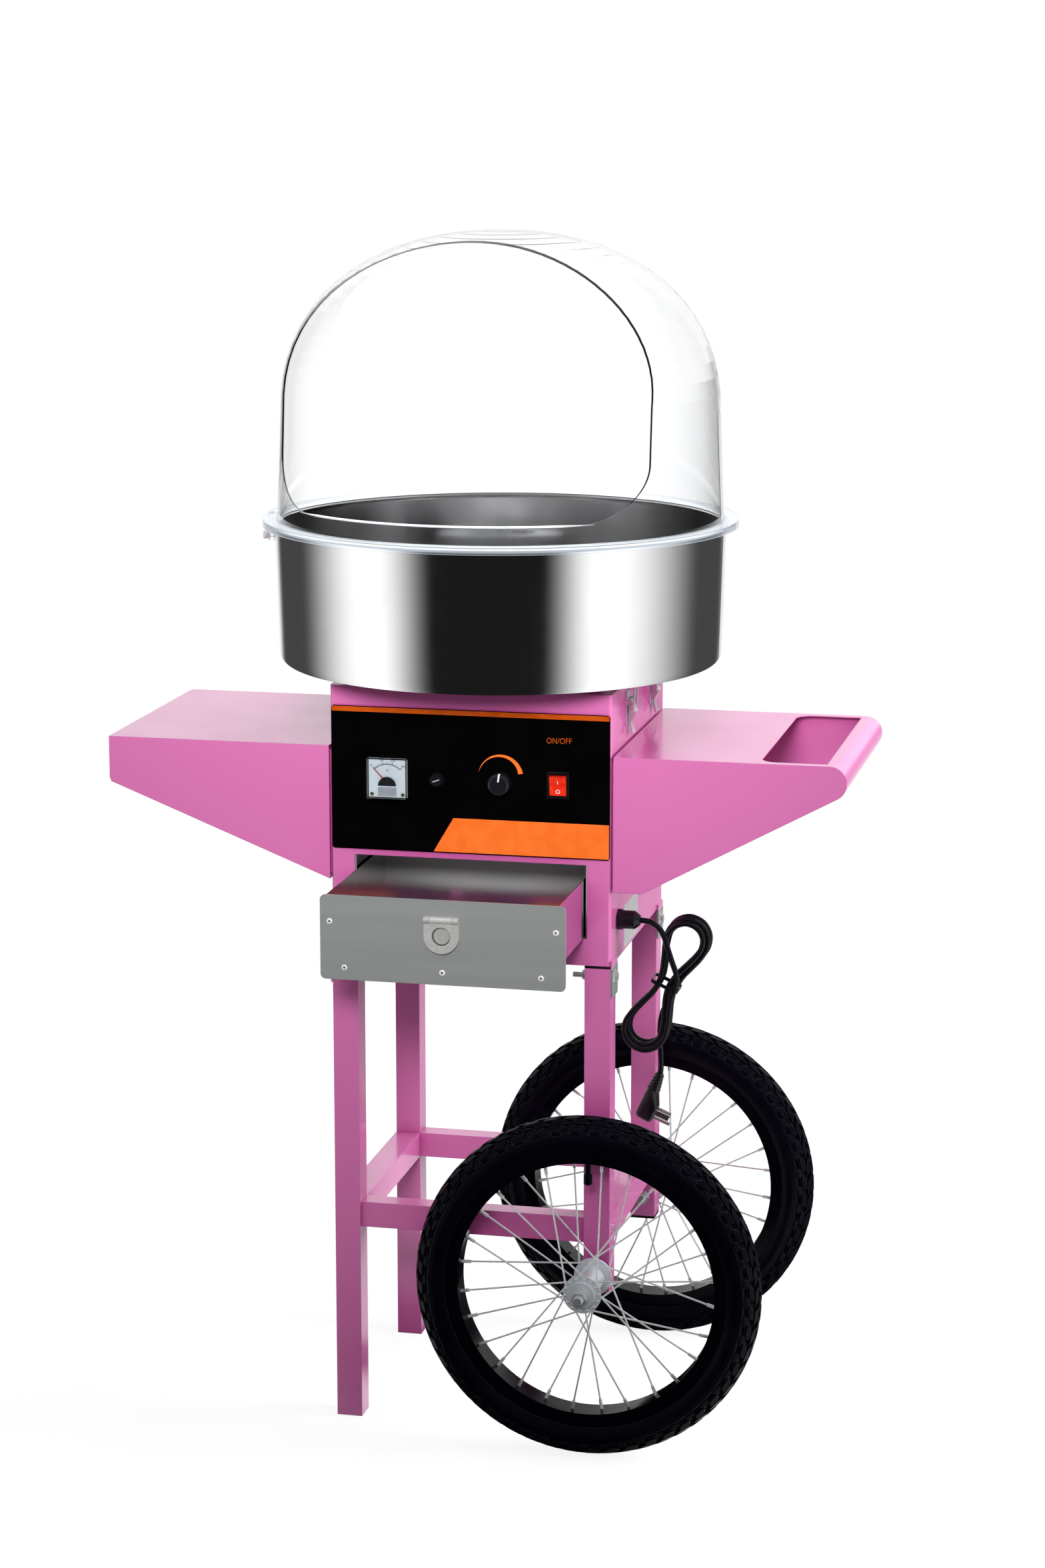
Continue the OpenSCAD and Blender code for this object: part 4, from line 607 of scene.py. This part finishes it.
def arc_strip(x, z, inner, outer, start, end, low, high, count=40):
    """A flat band bent round a point: a section from inner to outer radius and from low to high, carried through the
    angles."""
    whole = abs(end - start) >= 360
    t = np.radians(np.linspace(start, end, count, endpoint=not whole))[:, None]
    inner, outer = np.broadcast_to(inner, count), np.broadcast_to(outer, count)
    r = np.stack([inner, outer, outer, inner], 1)
    y = np.broadcast_to((low, low, high, high), (count, 4))
    return capped(np.stack([x + r * np.cos(t), y, z + r * np.sin(t)], -1), whole)


def settle(mesh, sharp):
    """Welds doubled points, turns the faces outwards and shades smooth up to an angle."""
    work = bmesh.new()
    work.from_mesh(mesh)
    bmesh.ops.remove_doubles(work, verts=work.verts, dist=2e-7)
    bmesh.ops.recalc_face_normals(work, faces=work.faces)
    work.to_mesh(mesh)
    work.free()
    mesh.shade_smooth()
    mesh.set_sharp_from_angle(angle=math.radians(sharp))


def finished(name, mesh, finish, body):
    """A mesh made into an object with its material, riding on its body."""
    mesh.materials.append(M[finish])
    obj = bpy.data.objects.new(name, mesh)
    scene.collection.objects.link(obj)
    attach(obj, body)
    return obj


def piece(name, shells, finish, body, sharp=35):
    """One object from shells in millimetres from the bowl's axis; its mesh is in metres in the row frame."""
    starts = np.cumsum([0] + [len(s[0]) for s in shells])
    points = np.concatenate([s[0] for s in shells])
    faces = np.concatenate([s[1] + k for s, k in zip(shells, starts)]).tolist()
    faces += [(c + k).tolist() for s, k in zip(shells, starts) for c in s[2]]
    mesh = bpy.data.meshes.new(name)
    mesh.from_pydata(((points + ROW) / 1000).tolist(), [], faces)
    settle(mesh, sharp)
    return finished(name, mesh, finish, body)


def figures(name, text, size, x, y, z, finish, body, narrow=1.0):
    """Plain figures on a face that looks forwards: a letter's x runs right, its y runs up and its depth runs to the
    front."""
    data = bpy.data.curves.new(name, "FONT")
    data.body, data.size, data.align_x, data.align_y, data.extrude = text, size, "CENTER", "CENTER", 0.05
    line = bpy.data.objects.new(name + "_line", data)
    mesh = bpy.data.meshes.new_from_object(line)
    bpy.data.objects.remove(line)
    co = np.empty(3 * len(mesh.vertices))
    mesh.vertices.foreach_get("co", co)
    fx, fy, fz = co.reshape(-1, 3).T
    co = (np.stack([x + fx * narrow, y - fz, z + fy], -1) + ROW) / 1000
    mesh.vertices.foreach_set("co", co.ravel())
    mesh.materials.clear()
    settle(mesh, 35)
    return finished(name, mesh, finish, body)


# Mains lead: out of the gland, down into the tied hank, then down to its plug

LEAD = [(188.5, -116, 607), (199.2, -116, 605.7), (206.8, -116.3, 601.8), (212.7, -116.7, 595.9),
        (216.6, -117, 588.2), (219.9, -117.1, 577.6), (223, -117.1, 568), (225.9, -116.8, 559.2),
        (229.6, -115.2, 548), (231, -112, 538.4)]
TAIL = [(217, -82.5, 508), (210.5, -79.4, 496), (206.5, -79, 482), (205.5, -79, 466),
        (206, -79.5, 450), (207, -80, 434), (207, -80, 424), (206.5, -80, 418)]
HANK_X, HANK_Y, HANK_Z, TILT = 216, -98, 530, math.radians(24)
HALF_LENGTH, HALF_WIDTH, WAIST = 84, 25.5, 11.5
LOOPS, LAYER, HALF_DEPTH = 4, 7.2, 10.8
CORD_R = 3.25


def on_hank(up, out, back):
    """A point of the hank: up along its tilted length, out across it, back into its depth."""
    up, out, back = np.broadcast_arrays(up, out, back)
    return np.stack([HANK_X + up * math.sin(TILT) + out * math.cos(TILT), HANK_Y + back,
                     HANK_Z + up * math.cos(TILT) - out * math.sin(TILT)], -1)


def hank_loops(t):
    """Long loops, one layer behind another: from the waist each quarter runs out to its full width along an eased line,
    then round half of a semicircle; a loop draws in as it goes and the next one spreads out again."""
    straight = 0.63
    turn, quarter = np.floor(t), np.floor(4 * t)
    q, f = quarter % 4, 4 * t - quarter
    inset = LAYER * np.where(turn % 2 == 0, t - turn, 1 - t + turn)
    wide, waist, length = HALF_WIDTH - inset, WAIST - inset, HALF_LENGTH - HALF_WIDTH
    g = np.where(q % 2 == 0, f, 1 - f)
    a = np.pi / 2 * (g - straight) / (1 - straight)
    up = np.where(g < straight, length * g / straight, length + wide * np.sin(a))
    eased = (1 - np.cos(np.pi * g / straight)) / 2
    out = np.where(g < straight, waist + (wide - waist) * eased, wide * np.cos(a))
    c = np.clip(2 * (t[:, None] - np.arange(1, LOOPS)) + 0.5, 0, 1)
    back = LAYER * (c * c * (3 - 2 * c)).sum(1) - HALF_DEPTH
    return on_hank(np.where(q < 2, -up, up), np.where((q == 0) | (q == 3), out, -out), back)


def cord_path(per_turn):
    """The whole run: the lead's points, a point above the waist, the loops, a point below the waist, the tail's."""
    t = np.minimum(np.arange(LOOPS * per_turn + 1) / per_turn, LOOPS - 0.0001)
    above, below = on_hank(2 * CORD_R, WAIST, -HALF_DEPTH), on_hank(-2 * CORD_R, WAIST, HALF_DEPTH)
    return np.concatenate([LEAD, above[None], hank_loops(t), below[None], TAIL])


def make_cord():
    """A round bar on a smooth curve through the run's points; its length is the sum of a finer run's steps."""
    path = (cord_path(24) + ROW) / 1000
    data = bpy.data.curves.new("flex", "CURVE")
    data.dimensions = "3D"
    data.bevel_depth, data.bevel_resolution, data.resolution_u = CORD_R / 1000, 5, 4
    data.use_fill_caps = True
    line = data.splines.new("BEZIER")
    line.bezier_points.add(len(path) - 1)
    line.bezier_points.foreach_set("co", path.ravel())
    for b in line.bezier_points:
        b.handle_left_type = b.handle_right_type = "AUTO"
    data.materials.append(M["cord_rubber"])
    obj = bpy.data.objects.new("flex", data)
    scene.collection.objects.link(obj)
    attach(obj, "cart")
    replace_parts(obj, "power_cord", "cord_hank")
    length = np.linalg.norm(np.diff(cord_path(600), axis=0), axis=1).sum() / 1000


make_cord()


# Tyres: a casing with ringed walls, four rows of blocks on each half, and the valve

TYRE_CORE, BLOCKS = 176.5, 52


def on_tyre(turn, across, r, centre):
    """A point of the tyre: turn about the axle, angle across the section from its crown, distance r from its core."""
    turn, across, r = np.broadcast_arrays(turn, across, r)
    ring = TYRE_CORE + r * np.cos(across)
    return np.stack([centre[0] + ring * np.cos(turn), centre[1] + r * np.sin(across),
                     centre[2] + ring * np.sin(turn)], -1)


def casing(centre, sides=132):
    """The casing: a section whose distance from the core swells into wall rings, turned about the axle and closed
    inside."""
    deg = np.linspace(-124.4, 124.4, 85)
    r = 20.7 + np.interp(np.abs(deg), [0, 50, 66, 76, 86, 90, 94, 98, 118, 124],
                         [-2.1, -2.1, -0.6, 2.2, 2.3, 2.75, 2.75, 2.3, 2.2, 2.6])
    a = np.radians(deg)
    ring = np.concatenate([(152, 163.4), TYRE_CORE + r * np.cos(a), (163.4, 152)])
    y = np.concatenate([(-13, -13.2), r * np.sin(a), (13.2, 13)])
    t = np.linspace(0, 2 * np.pi, sides, endpoint=False)[:, None]
    x, z = centre[0] + ring * np.cos(t), centre[2] + ring * np.sin(t)
    return grid(np.stack(np.broadcast_arrays(x, centre[1] + y, z), -1), round_rows=True, round_cols=True)


def blocks(turns, across, half_turn, half_across, top, skew, centre):
    """Tread blocks: three squared rings of eight points each, drawn in towards the top, laid on the tyre."""
    k = (np.arange(8) + 0.5) * np.pi / 4
    u = np.sign(np.cos(k)) * np.abs(np.cos(k)) ** 0.35 * half_turn
    v = np.sign(np.sin(k)) * np.abs(np.sin(k)) ** 0.35 * half_across
    draw = np.array((1.0, 0.95, 0.84))[:, None]
    r = np.array((18.2, top - 0.5, top))[:, None]
    points = on_tyre(turns[:, None, None] + ((u + skew * v) * draw)[None], (across + v * draw)[None], r[None], centre)
    j = np.arange(8)
    ring = np.stack([j, (j + 1) % 8, (j + 1) % 8 + 8, j + 8], -1)
    faces = np.concatenate([ring, ring + 8, [[16, 17, 18, 19], [19, 20, 23, 16], [20, 21, 22, 23]]])
    return points.reshape(-1, 3), (faces[None] + 24 * np.arange(len(turns))[:, None, None]).reshape(-1, 4), []


def make_tyre(name, side, body, old):
    """One tyre: its casing, on each half four rows of blocks at set angles across, and a valve turned about a line up
    from the axle."""
    centre = (WHEEL_X, side * WHEEL_Y, WHEEL_Z)
    step = 2 * np.pi / BLOCKS
    turns = step * np.arange(BLOCKS)
    shells = [casing(centre)]
    for s in (-1, 1):
        shells += [blocks(turns + s * step * 0.25, s * 0.17, step * 0.36, 0.135, 23.35, s * 0.10, centre),
                   blocks(turns - s * step * 0.25, s * 0.50, step * 0.38, 0.150, 23.30, -s * 0.12, centre),
                   blocks(turns + step * 0.45, s * 0.86, step * 0.34, 0.155, 23.40, s * 0.08, centre),
                   blocks(turns, s * 1.14, step * 0.26, 0.085, 23.35, 0, centre)]
    stem = [(0, 151), (4, 151), (4, 146), (3.2, 146), (3.2, 132), (4.6, 132), (4.9, 131), (4.9, 120.5), (3.6, 119.5),
            (0, 119.5)]
    shells.append(turned(stem, centre, (0, 0, 1), 24))
    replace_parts(piece(name, shells, "tyre_rubber", body, 32), old)


make_tyre("front_tyre_tread", -1, "front_wheel", "front_tyre")
make_tyre("rear_tyre_tread", 1, "rear_wheel", "rear_tyre")


# Spoke heads on the hub flanges and the threads at the axle ends

SPOKES, HEADS_R, HEADS_Y = 28, 19, 32.5


def make_wheel_trim(side, body):
    """Turned heads at each spoke's place on its flange, four pitches to one side or the other of its place on the rim,
    and an axle end whose radius steps in and out."""
    i = np.arange(SPOKES)
    rim = (i + 0.5) * 360 / SPOKES + 90
    hub = np.radians(rim + np.where(i // 2 % 2 == 0, 1, -1) * 4 * 360 / SPOKES)
    flange = np.where(i % 2 == 0, 1, -1)
    head = [(0, 1.1), (0.9, 1.0), (1.7, 0.5), (1.9, 0)]
    shells = []
    for f in (-1, 1):
        h = hub[flange == f]
        places = np.stack([WHEEL_X + HEADS_R * np.cos(h), np.full(len(h), side * WHEEL_Y + f * HEADS_Y),
                           WHEEL_Z + HEADS_R * np.sin(h)], -1)
        shells.append(stamped(turned(head + [(0, -0.2)], (0, 0, 0), (0, f, 0), 12), places))
    piece(body + "_spoke_heads", shells, "spoke_steel", body)
    k = np.arange(13)
    thread = np.stack([np.where(k % 2 == 0, 4.9, 5.35), 52.3 + k * 0.46], -1)
    thread = np.concatenate([[(0, 52.3)], thread, [(0, 57.9)]])
    piece(("front" if side < 0 else "rear") + "_axle_thread",
          [turned(thread, (WHEEL_X, side * WHEEL_Y, WHEEL_Z), (0, side, 0), 32)], "zinc", "cart")


make_wheel_trim(-1, "front_wheel")
make_wheel_trim(1, "rear_wheel")


# Panel print: the strip, the bare block, the crescent round the knob and the switch's words

CONTROL_Z, FUSE_X, KNOB_X, ROCKER_X = 768, -37.5, 36, 102


def make_panel_print():
    """Thin plates on the panel's face with rounded or straight outlines, and a band round the knob that thickens along
    its arc."""
    face = -158.5
    printed = (face - 0.12, face + 0.05)
    strip = plate(rounded(320.4, 5.6, 0.4, 0, 845.4), *printed)
    piece("panel_strip", [strip], "orange_strip", "cart")
    block = plate([(-42, 685.2), (160.2, 685.2), (160.2, 724.6), (-19, 724.6)], *printed)
    piece("panel_block", [block], "orange_print", "cart")
    radius, steps = 26, 41
    inner = radius - np.linspace(0.15, 5.4, steps)
    crescent = arc_strip(KNOB_X, CONTROL_Z + 6, inner, radius, 168, 12, *printed, steps)
    piece("knob_crescent", [crescent], "orange_print", "cart")
    figures("switch_words", "ON/OFF", 9.4, ROCKER_X + 0.9, face - 0.08, CONTROL_Z + 50, "orange_strip", "cart", 0.86)


make_panel_print()


# Controls: pointer, marks and slot


def make_pointer():
    """A strip carried along the knob's face and round its edge, a little proud of both."""
    phi = np.radians(np.concatenate([[0, 0], np.linspace(0, 78, 9)]))
    r0 = np.concatenate([[3.5, 8.0], np.full(9, 8.5)])
    turn = math.radians(83)
    out, side = np.array((math.cos(turn), 0, math.sin(turn))), np.array((-math.sin(turn), 0, math.cos(turn)))
    off = np.array((-0.2, 0.12, 0.12, -0.2))[None]
    half = np.array((-0.95, -0.95, 0.95, 0.95))[None, :, None]
    r = r0[:, None] + (4 + off) * np.sin(phi)[:, None]
    y = -170.8 - (4 + off) * np.cos(phi)[:, None]
    points = np.array((KNOB_X, 0, CONTROL_Z)) + r[..., None] * out + y[..., None] * np.array((0, 1, 0)) + half * side
    piece("knob_pointer", [capped(points)], "white_print", "knob")


def on_rocker(x, z, lift):
    """A point on the rocker's two faces: across, up from the ridge, and proud of the face; tilted about its pin."""
    x, z, lift = np.broadcast_arrays(x, z, lift)
    y = -4 - 1.5 * np.abs(z) / 11.1 - lift
    tilt = math.radians(11)
    pin_y = -157.1
    return np.stack([ROCKER_X + x, pin_y + y * math.cos(tilt) - z * math.sin(tilt),
                     CONTROL_Z + y * math.sin(tilt) + z * math.cos(tilt)], -1)


def make_rocker_marks():
    """A bar on the upper face and a ring on the lower one, each a section of four corners carried along its line."""
    lift = np.array((-0.2, -0.2, 0.1, 0.1))
    bar = on_rocker(np.array((-0.42, 0.42, 0.42, -0.42))[None], np.linspace(2.6, 6.4, 5)[:, None], lift[None])
    t = np.linspace(0, 2 * np.pi, 32, endpoint=False)[:, None]
    r = np.array((1.75, 2.45, 2.45, 1.75))[None]
    ring = on_rocker(r * np.cos(t), -6.4 + r * np.sin(t), lift[None])
    piece("rocker_marks", [capped(bar), capped(ring, True)], "white_print", "rocker")


def make_fuse_slot():
    """A silver bar that lies in the cap's slot: a thin rounded rectangle turned by twenty degrees."""
    x, z = rounded(8.6, 1.2, 0.3).T
    a = math.radians(20)
    outline = np.stack([FUSE_X + x * math.cos(a) - z * math.sin(a), CONTROL_Z + x * math.sin(a) + z * math.cos(a)], -1)
    piece("fuse_slot", [plate(outline, -165.95, -164.9)], "spoke_steel", "fuse")


make_pointer()
make_rocker_marks()
make_fuse_slot()


# Meter: scale, hub shade, ribs and screws

DIAL = -162.3
INKED = (DIAL - 0.08, DIAL + 0.05)
METER_X, PIVOT_Z = -94.5, 762.5
SCALE_FROM, SCALE_TO, SCALE_R = 133, 47, 21.5
TICKS, RIBS = 30, 9


def make_meter():
    """The dial: ticks fanned about the pivot, longer at every fifth and tenth, an arc below them, a half disc, a ribbed
    block, two screws with slits painted as dark plates of shade, and the figures."""
    i = np.arange(TICKS + 1)
    t = np.radians(SCALE_FROM + (SCALE_TO - SCALE_FROM) * i / TICKS)
    long = np.where(i % 10 == 0, 3.2, np.where(i % 5 == 0, 2.4, 1.5))
    half = np.where(i % 10 == 0, 0.30, 0.18)
    out = np.stack([np.cos(t), np.sin(t)], -1)
    side = np.stack([-out[:, 1], out[:, 0]], -1) * half[:, None]
    pivot = np.array((METER_X, PIVOT_Z))
    low, high = pivot + out * SCALE_R, pivot + out * (SCALE_R + long)[:, None]
    ticks = bars(np.stack([low + side, high + side, high - side, low - side], 1), *INKED)
    scale = arc_strip(METER_X, PIVOT_Z, SCALE_R - 0.3, SCALE_R + 0.25, SCALE_FROM, SCALE_TO, *INKED)
    shade = arc_strip(METER_X, PIVOT_Z - 3, 0.05, 10.5, 0, 180, DIAL - 2.5, DIAL - 2.3)
    piece("meter_scale", [ticks, scale, shade], "ink", "cart")
    z = PIVOT_Z - 5.6 - 1.05 * np.arange(RIBS)
    corner = np.array(((-10.5, -0.3), (10.5, -0.3), (10.5, 0.3), (-10.5, 0.3)))
    ribs = corner[None] + np.stack([np.full(RIBS, METER_X), z], -1)[:, None]
    shelf = plate(rounded(21.4, 9.4, 1, METER_X, PIVOT_Z - 9.8), DIAL - 2.5, DIAL + 0.05)
    piece("meter_ribs", [shelf, bars(ribs, DIAL - 3.1, DIAL - 2.45)], "meter_white", "cart")
    places = [(METER_X + s * 18, DIAL, CONTROL_Z - 18.5) for s in (-1, 1)]
    head = turned([(0, -0.1), (2.2, -0.1), (2.2, 0.7), (1.7, 1.1), (0, 1.15)], (0, 0, 0), (0, -1, 0), 24)
    piece("meter_screws", [stamped(head, places)], "brass", "cart")
    # Painted shade: a dark plate laid over each screw head stands for its slot
    slit = plate([(-1.7, -0.6), (1.7, 0.2), (1.6, 0.6), (-1.8, -0.2)], -1.25, -0.9)
    piece("meter_slit_shade", [stamped(slit, places)], "ink", "cart")
    for text, deg in (("0", SCALE_FROM), ("100", 104.3), ("200", 75.7), ("300", SCALE_TO)):
        a = math.radians(deg)
        figures("dial_" + text, text, 3.6, METER_X + 27.2 * math.cos(a), DIAL - 0.04, PIVOT_Z + 27 * math.sin(a),
                "ink", "cart")
    figures("dial_unit", "V", 5, METER_X, DIAL - 0.04, PIVOT_Z + 14.5, "ink", "cart")


make_meter()


# Drawer rivets with hollow centres


def make_rivets():
    """Turned heads on the drawer's plate, with a dark disc at the bottom of each hollow as painted shade."""
    plate_y = -291.5
    places = np.insert([(128, 631.0), (-128, 631), (111.5, 579), (-111.5, 579), (0, 579)], 1, plate_y, axis=1)
    head = [(0, 0.3), (1.15, 0.3), (1.3, 1.25), (1.7, 1.5), (2.6, 1.2), (3.35, 0.5), (3.5, -0.4)]
    shell = stamped(turned(head, (0, 0, 0), (0, -1, 0), 32), places)
    heads = piece("rivet_heads", [shell], "rivet_white", "drawer")
    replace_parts(heads, "drawer_screws")
    # Painted shade: a dark disc at the bottom of each hollow stands for the dark inside of the hole
    hole_shade_disc = [(0, 0.34), (1.12, 0.34), (1.12, 0.2), (0, 0.2)]
    piece("rivet_hole_shade", [stamped(turned(hole_shade_disc, (0, 0, 0), (0, -1, 0), 20), places)], "ink", "drawer")


make_rivets()


# Housing trim: the bare label, zinc brackets over the leg tabs and their washers


def make_trim():
    """Rounded plates on the housing's sides, one for the label and one over each leg tab, and washers turned about each
    bolt's line."""
    side_x, leg_y, bolt_z = 162.5, 142, 546.5
    label = plate(rounded(84, 50, 3, -38, 589), side_x - 0.05, side_x + 0.18, axis=0)
    piece("side_label", [label], "label_foil", "cart")
    shells = []
    for sx in (-1, 1):
        for sy in (-1, 1):
            outline = rounded(30.8, 35.8, 3, sy * leg_y, 542.6)
            shells.append(plate(outline, *sorted((sx * (side_x + 0.1), sx * (side_x + 2.35))), axis=0))
            washer = [(5.2, 164.6), (8.4, 164.6), (8.4, 165.5), (8.0, 165.8), (5.2, 165.8)]
            shells.append(turned(washer, (0, sy * leg_y, bolt_z), (sx, 0, 0), 32))
    piece("leg_brackets", shells, "zinc", "cart")


make_trim()


# Dome trim: the polished lower edge of the window as a pale bar that paints its highlight, and the knurled clamp screws


def make_dome_trim():
    """A pale bar along the wall's circle below the window, a painted highlight on its polished edge, thinner towards
    its ends, and two knurled grips turned about lines out from the bowl's axis."""
    half, count, sill_z, clamp_z = 172, 49, 1068.3, 1022.3
    # The wall's mid circle at the sill: 257 at its foot, drawn in by 5 over its height of 122, half of 2.5 thick
    r = 257 - 5 * 20 / 122 - 1.25
    x = np.linspace(-half, half, count)
    y = -np.sqrt(r * r - x * x)
    a = np.radians(-6)
    path = np.stack([x * math.cos(a) - y * math.sin(a), x * math.sin(a) + y * math.cos(a), np.full(count, sill_z)], -1)
    taper = 1.45 * np.clip((half - np.abs(x)) / 30, 0.15, 1)
    # Painted highlight: the bar is a pale opaque strip where the window's cut edge shows a bright line
    piece("window_sill", [tube(path, taper)], "lit_window_edge", "dome")
    grip = [(0, 271.0), (4.2, 271.0), (4.75, 271.6), (4.75, 277.6), (4.2, 278.3), (2.2, 278.4), (0, 278.4)]
    shells = []
    for deg in (185, 40):
        t = math.radians(deg)
        shells.append(turned(grip, (0, 0, clamp_z), (math.cos(t), math.sin(t), 0), 72, 0.035))
    piece("clamp_screws", shells, "spoke_steel", "dome")


make_dome_trim()


# Stage: a white floor that keeps the shadow, the studio round it and two soft lamps


def mix_shader(tree, fac, a, b):
    """Blends shader a into shader b."""
    n = tree.nodes.new("ShaderNodeMixShader")
    for i, v in enumerate((fac, a, b)):
        tree.links.new(v, n.inputs[i])
    return n.outputs[0]


def make_floor():
    """A disc: to the camera a white that takes the shadow, to gloss the studio's screens, to the rest a grey."""
    sides, radius, middle_x, drop = 120, 1.9, 0.1, 0.0006
    t = np.linspace(0, 2 * np.pi, sides, endpoint=False)
    points = np.stack([middle_x + radius * np.cos(t), radius * np.sin(t), np.full(sides, -drop)], -1)
    mesh = bpy.data.meshes.new("floor")
    mesh.from_pydata(points.tolist(), [], [list(range(sides))])
    obj = bpy.data.objects.new("floor", mesh)
    scene.collection.objects.link(obj)
    m = bpy.data.materials.new("floor")
    m.use_nodes = True
    t = m.node_tree
    t.nodes.clear()
    co = add(t, "ShaderNodeTexCoord", out="Object")
    away = add(t, "ShaderNodeVectorMath", out="Value", operation="LENGTH")
    t.links.new(co, away.node.inputs[0])
    grey = add(t, "ShaderNodeBsdfDiffuse", Color=(0.30, 0.29, 0.30))
    lit = add(t, "ShaderNodeBsdfDiffuse", Color=(0.22, 0.22, 0.22))
    glow = add(t, "ShaderNodeEmission", Color=(1, 1, 1), Strength=span(t, away, 0.7, 1.5, 0.86, 1.0))
    both = t.nodes.new("ShaderNodeAddShader")
    t.links.new(lit, both.inputs[0])
    t.links.new(glow, both.inputs[1])
    bands = add(t, "ShaderNodeEmission", Color=use(t, "studio_bands", Vector=co), Strength=1.0)
    path = t.nodes.new("ShaderNodeLightPath").outputs
    seen = calc(t, "MAXIMUM", path["Is Camera Ray"], path["Is Transmission Ray"])
    other = mix_shader(t, path["Is Glossy Ray"], grey, bands)
    end = t.nodes.new("ShaderNodeOutputMaterial")
    t.links.new(mix_shader(t, seen, other, both.outputs[0]), end.inputs[0])
    mesh.materials.append(m)


def make_world():
    """White to the camera and through glass; to metal and gloss a studio with a white screen on each side; to the rest
    a soft light from above that is stronger on the right."""
    world = bpy.data.worlds.new("studio")
    scene.world = world
    world.use_nodes = True
    t = world.node_tree
    t.nodes.clear()
    way = add(t, "ShaderNodeTexCoord", out="Generated")
    z = parts_of(t, way)[2]
    bands = use(t, "studio_bands", "Level", Vector=way)
    bearing = use(t, "studio_bands", "Turn", Vector=way)
    turn = calc(t, "ABSOLUTE", bearing)
    side = span(t, turn, 20, 75, 0.20, 0.42)
    rear = span(t, turn, 95, 150, 0.0, 0.7)
    high = calc(t, "ADD", calc(t, "ADD", side, rear), span(t, z, 0.3, 0.8, 0.0, 0.12))
    low = span(t, z, -0.02, 0.08, 1.0, 0.0)
    studio = calc(t, "ADD", calc(t, "MULTIPLY", bands, low), calc(t, "MULTIPLY", high, calc(t, "SUBTRACT", 1.0, low)))
    path = t.nodes.new("ShaderNodeLightPath").outputs
    fill_light = calc(t, "MULTIPLY", span(t, z, -0.1, 0.3, 0.12, 0.62), span(t, bearing, 25, 95, 0.70, 1.40))
    mirrored = calc(t, "GREATER_THAN", path["Glossy Depth"], 0.5)
    through = calc(t, "MULTIPLY", path["Is Transmission Ray"], calc(t, "SUBTRACT", 1.0, mirrored))
    gloss = calc(t, "MAXIMUM", path["Is Glossy Ray"], calc(t, "MULTIPLY", path["Is Transmission Ray"], mirrored))
    level = calc(t, "ADD", calc(t, "MULTIPLY", gloss, studio),
                 calc(t, "MULTIPLY", calc(t, "SUBTRACT", 1.0, gloss), fill_light))
    seen = calc(t, "MAXIMUM", path["Is Camera Ray"], calc(t, "MULTIPLY", through, 1.12))
    plain_view = calc(t, "SUBTRACT", 1.0, calc(t, "MAXIMUM", path["Is Camera Ray"], through))
    level = calc(t, "ADD", seen, calc(t, "MULTIPLY", plain_view, level))
    back = add(t, "ShaderNodeBackground", Color=(1, 1, 1), Strength=level)
    end = t.nodes.new("ShaderNodeOutputWorld")
    t.links.new(back, end.inputs[0])


def make_light(name, place, target, power, size=None, cone=None):
    """A soft lamp: a rectangle of a size, or a wide beam that fades from its middle to the edge of its cone."""
    data = bpy.data.lights.new(name, "AREA" if size else "SPOT")
    data.energy = power
    if size:
        data.shape, data.size, data.size_y = "RECTANGLE", size[0], size[1]
    else:
        data.spot_size, data.spot_blend, data.shadow_soft_size = math.radians(cone), 1.0, 0.6
    obj = bpy.data.objects.new(name, data)
    scene.collection.objects.link(obj)
    obj.location = place
    obj.rotation_euler = (Vector(target) - Vector(place)).to_track_quat("-Z", "Y").to_euler()
    obj.visible_camera = obj.visible_glossy = obj.visible_transmission = False


make_floor()
make_world()
make_light("key", (0.4, -3.0, 2.2), (-0.03, 0, 1.22), 640, cone=36)
make_light("right", (2.6, 0.2, 1.4), (0, 0, 0.6), 78, size=(1.4, 1.8))
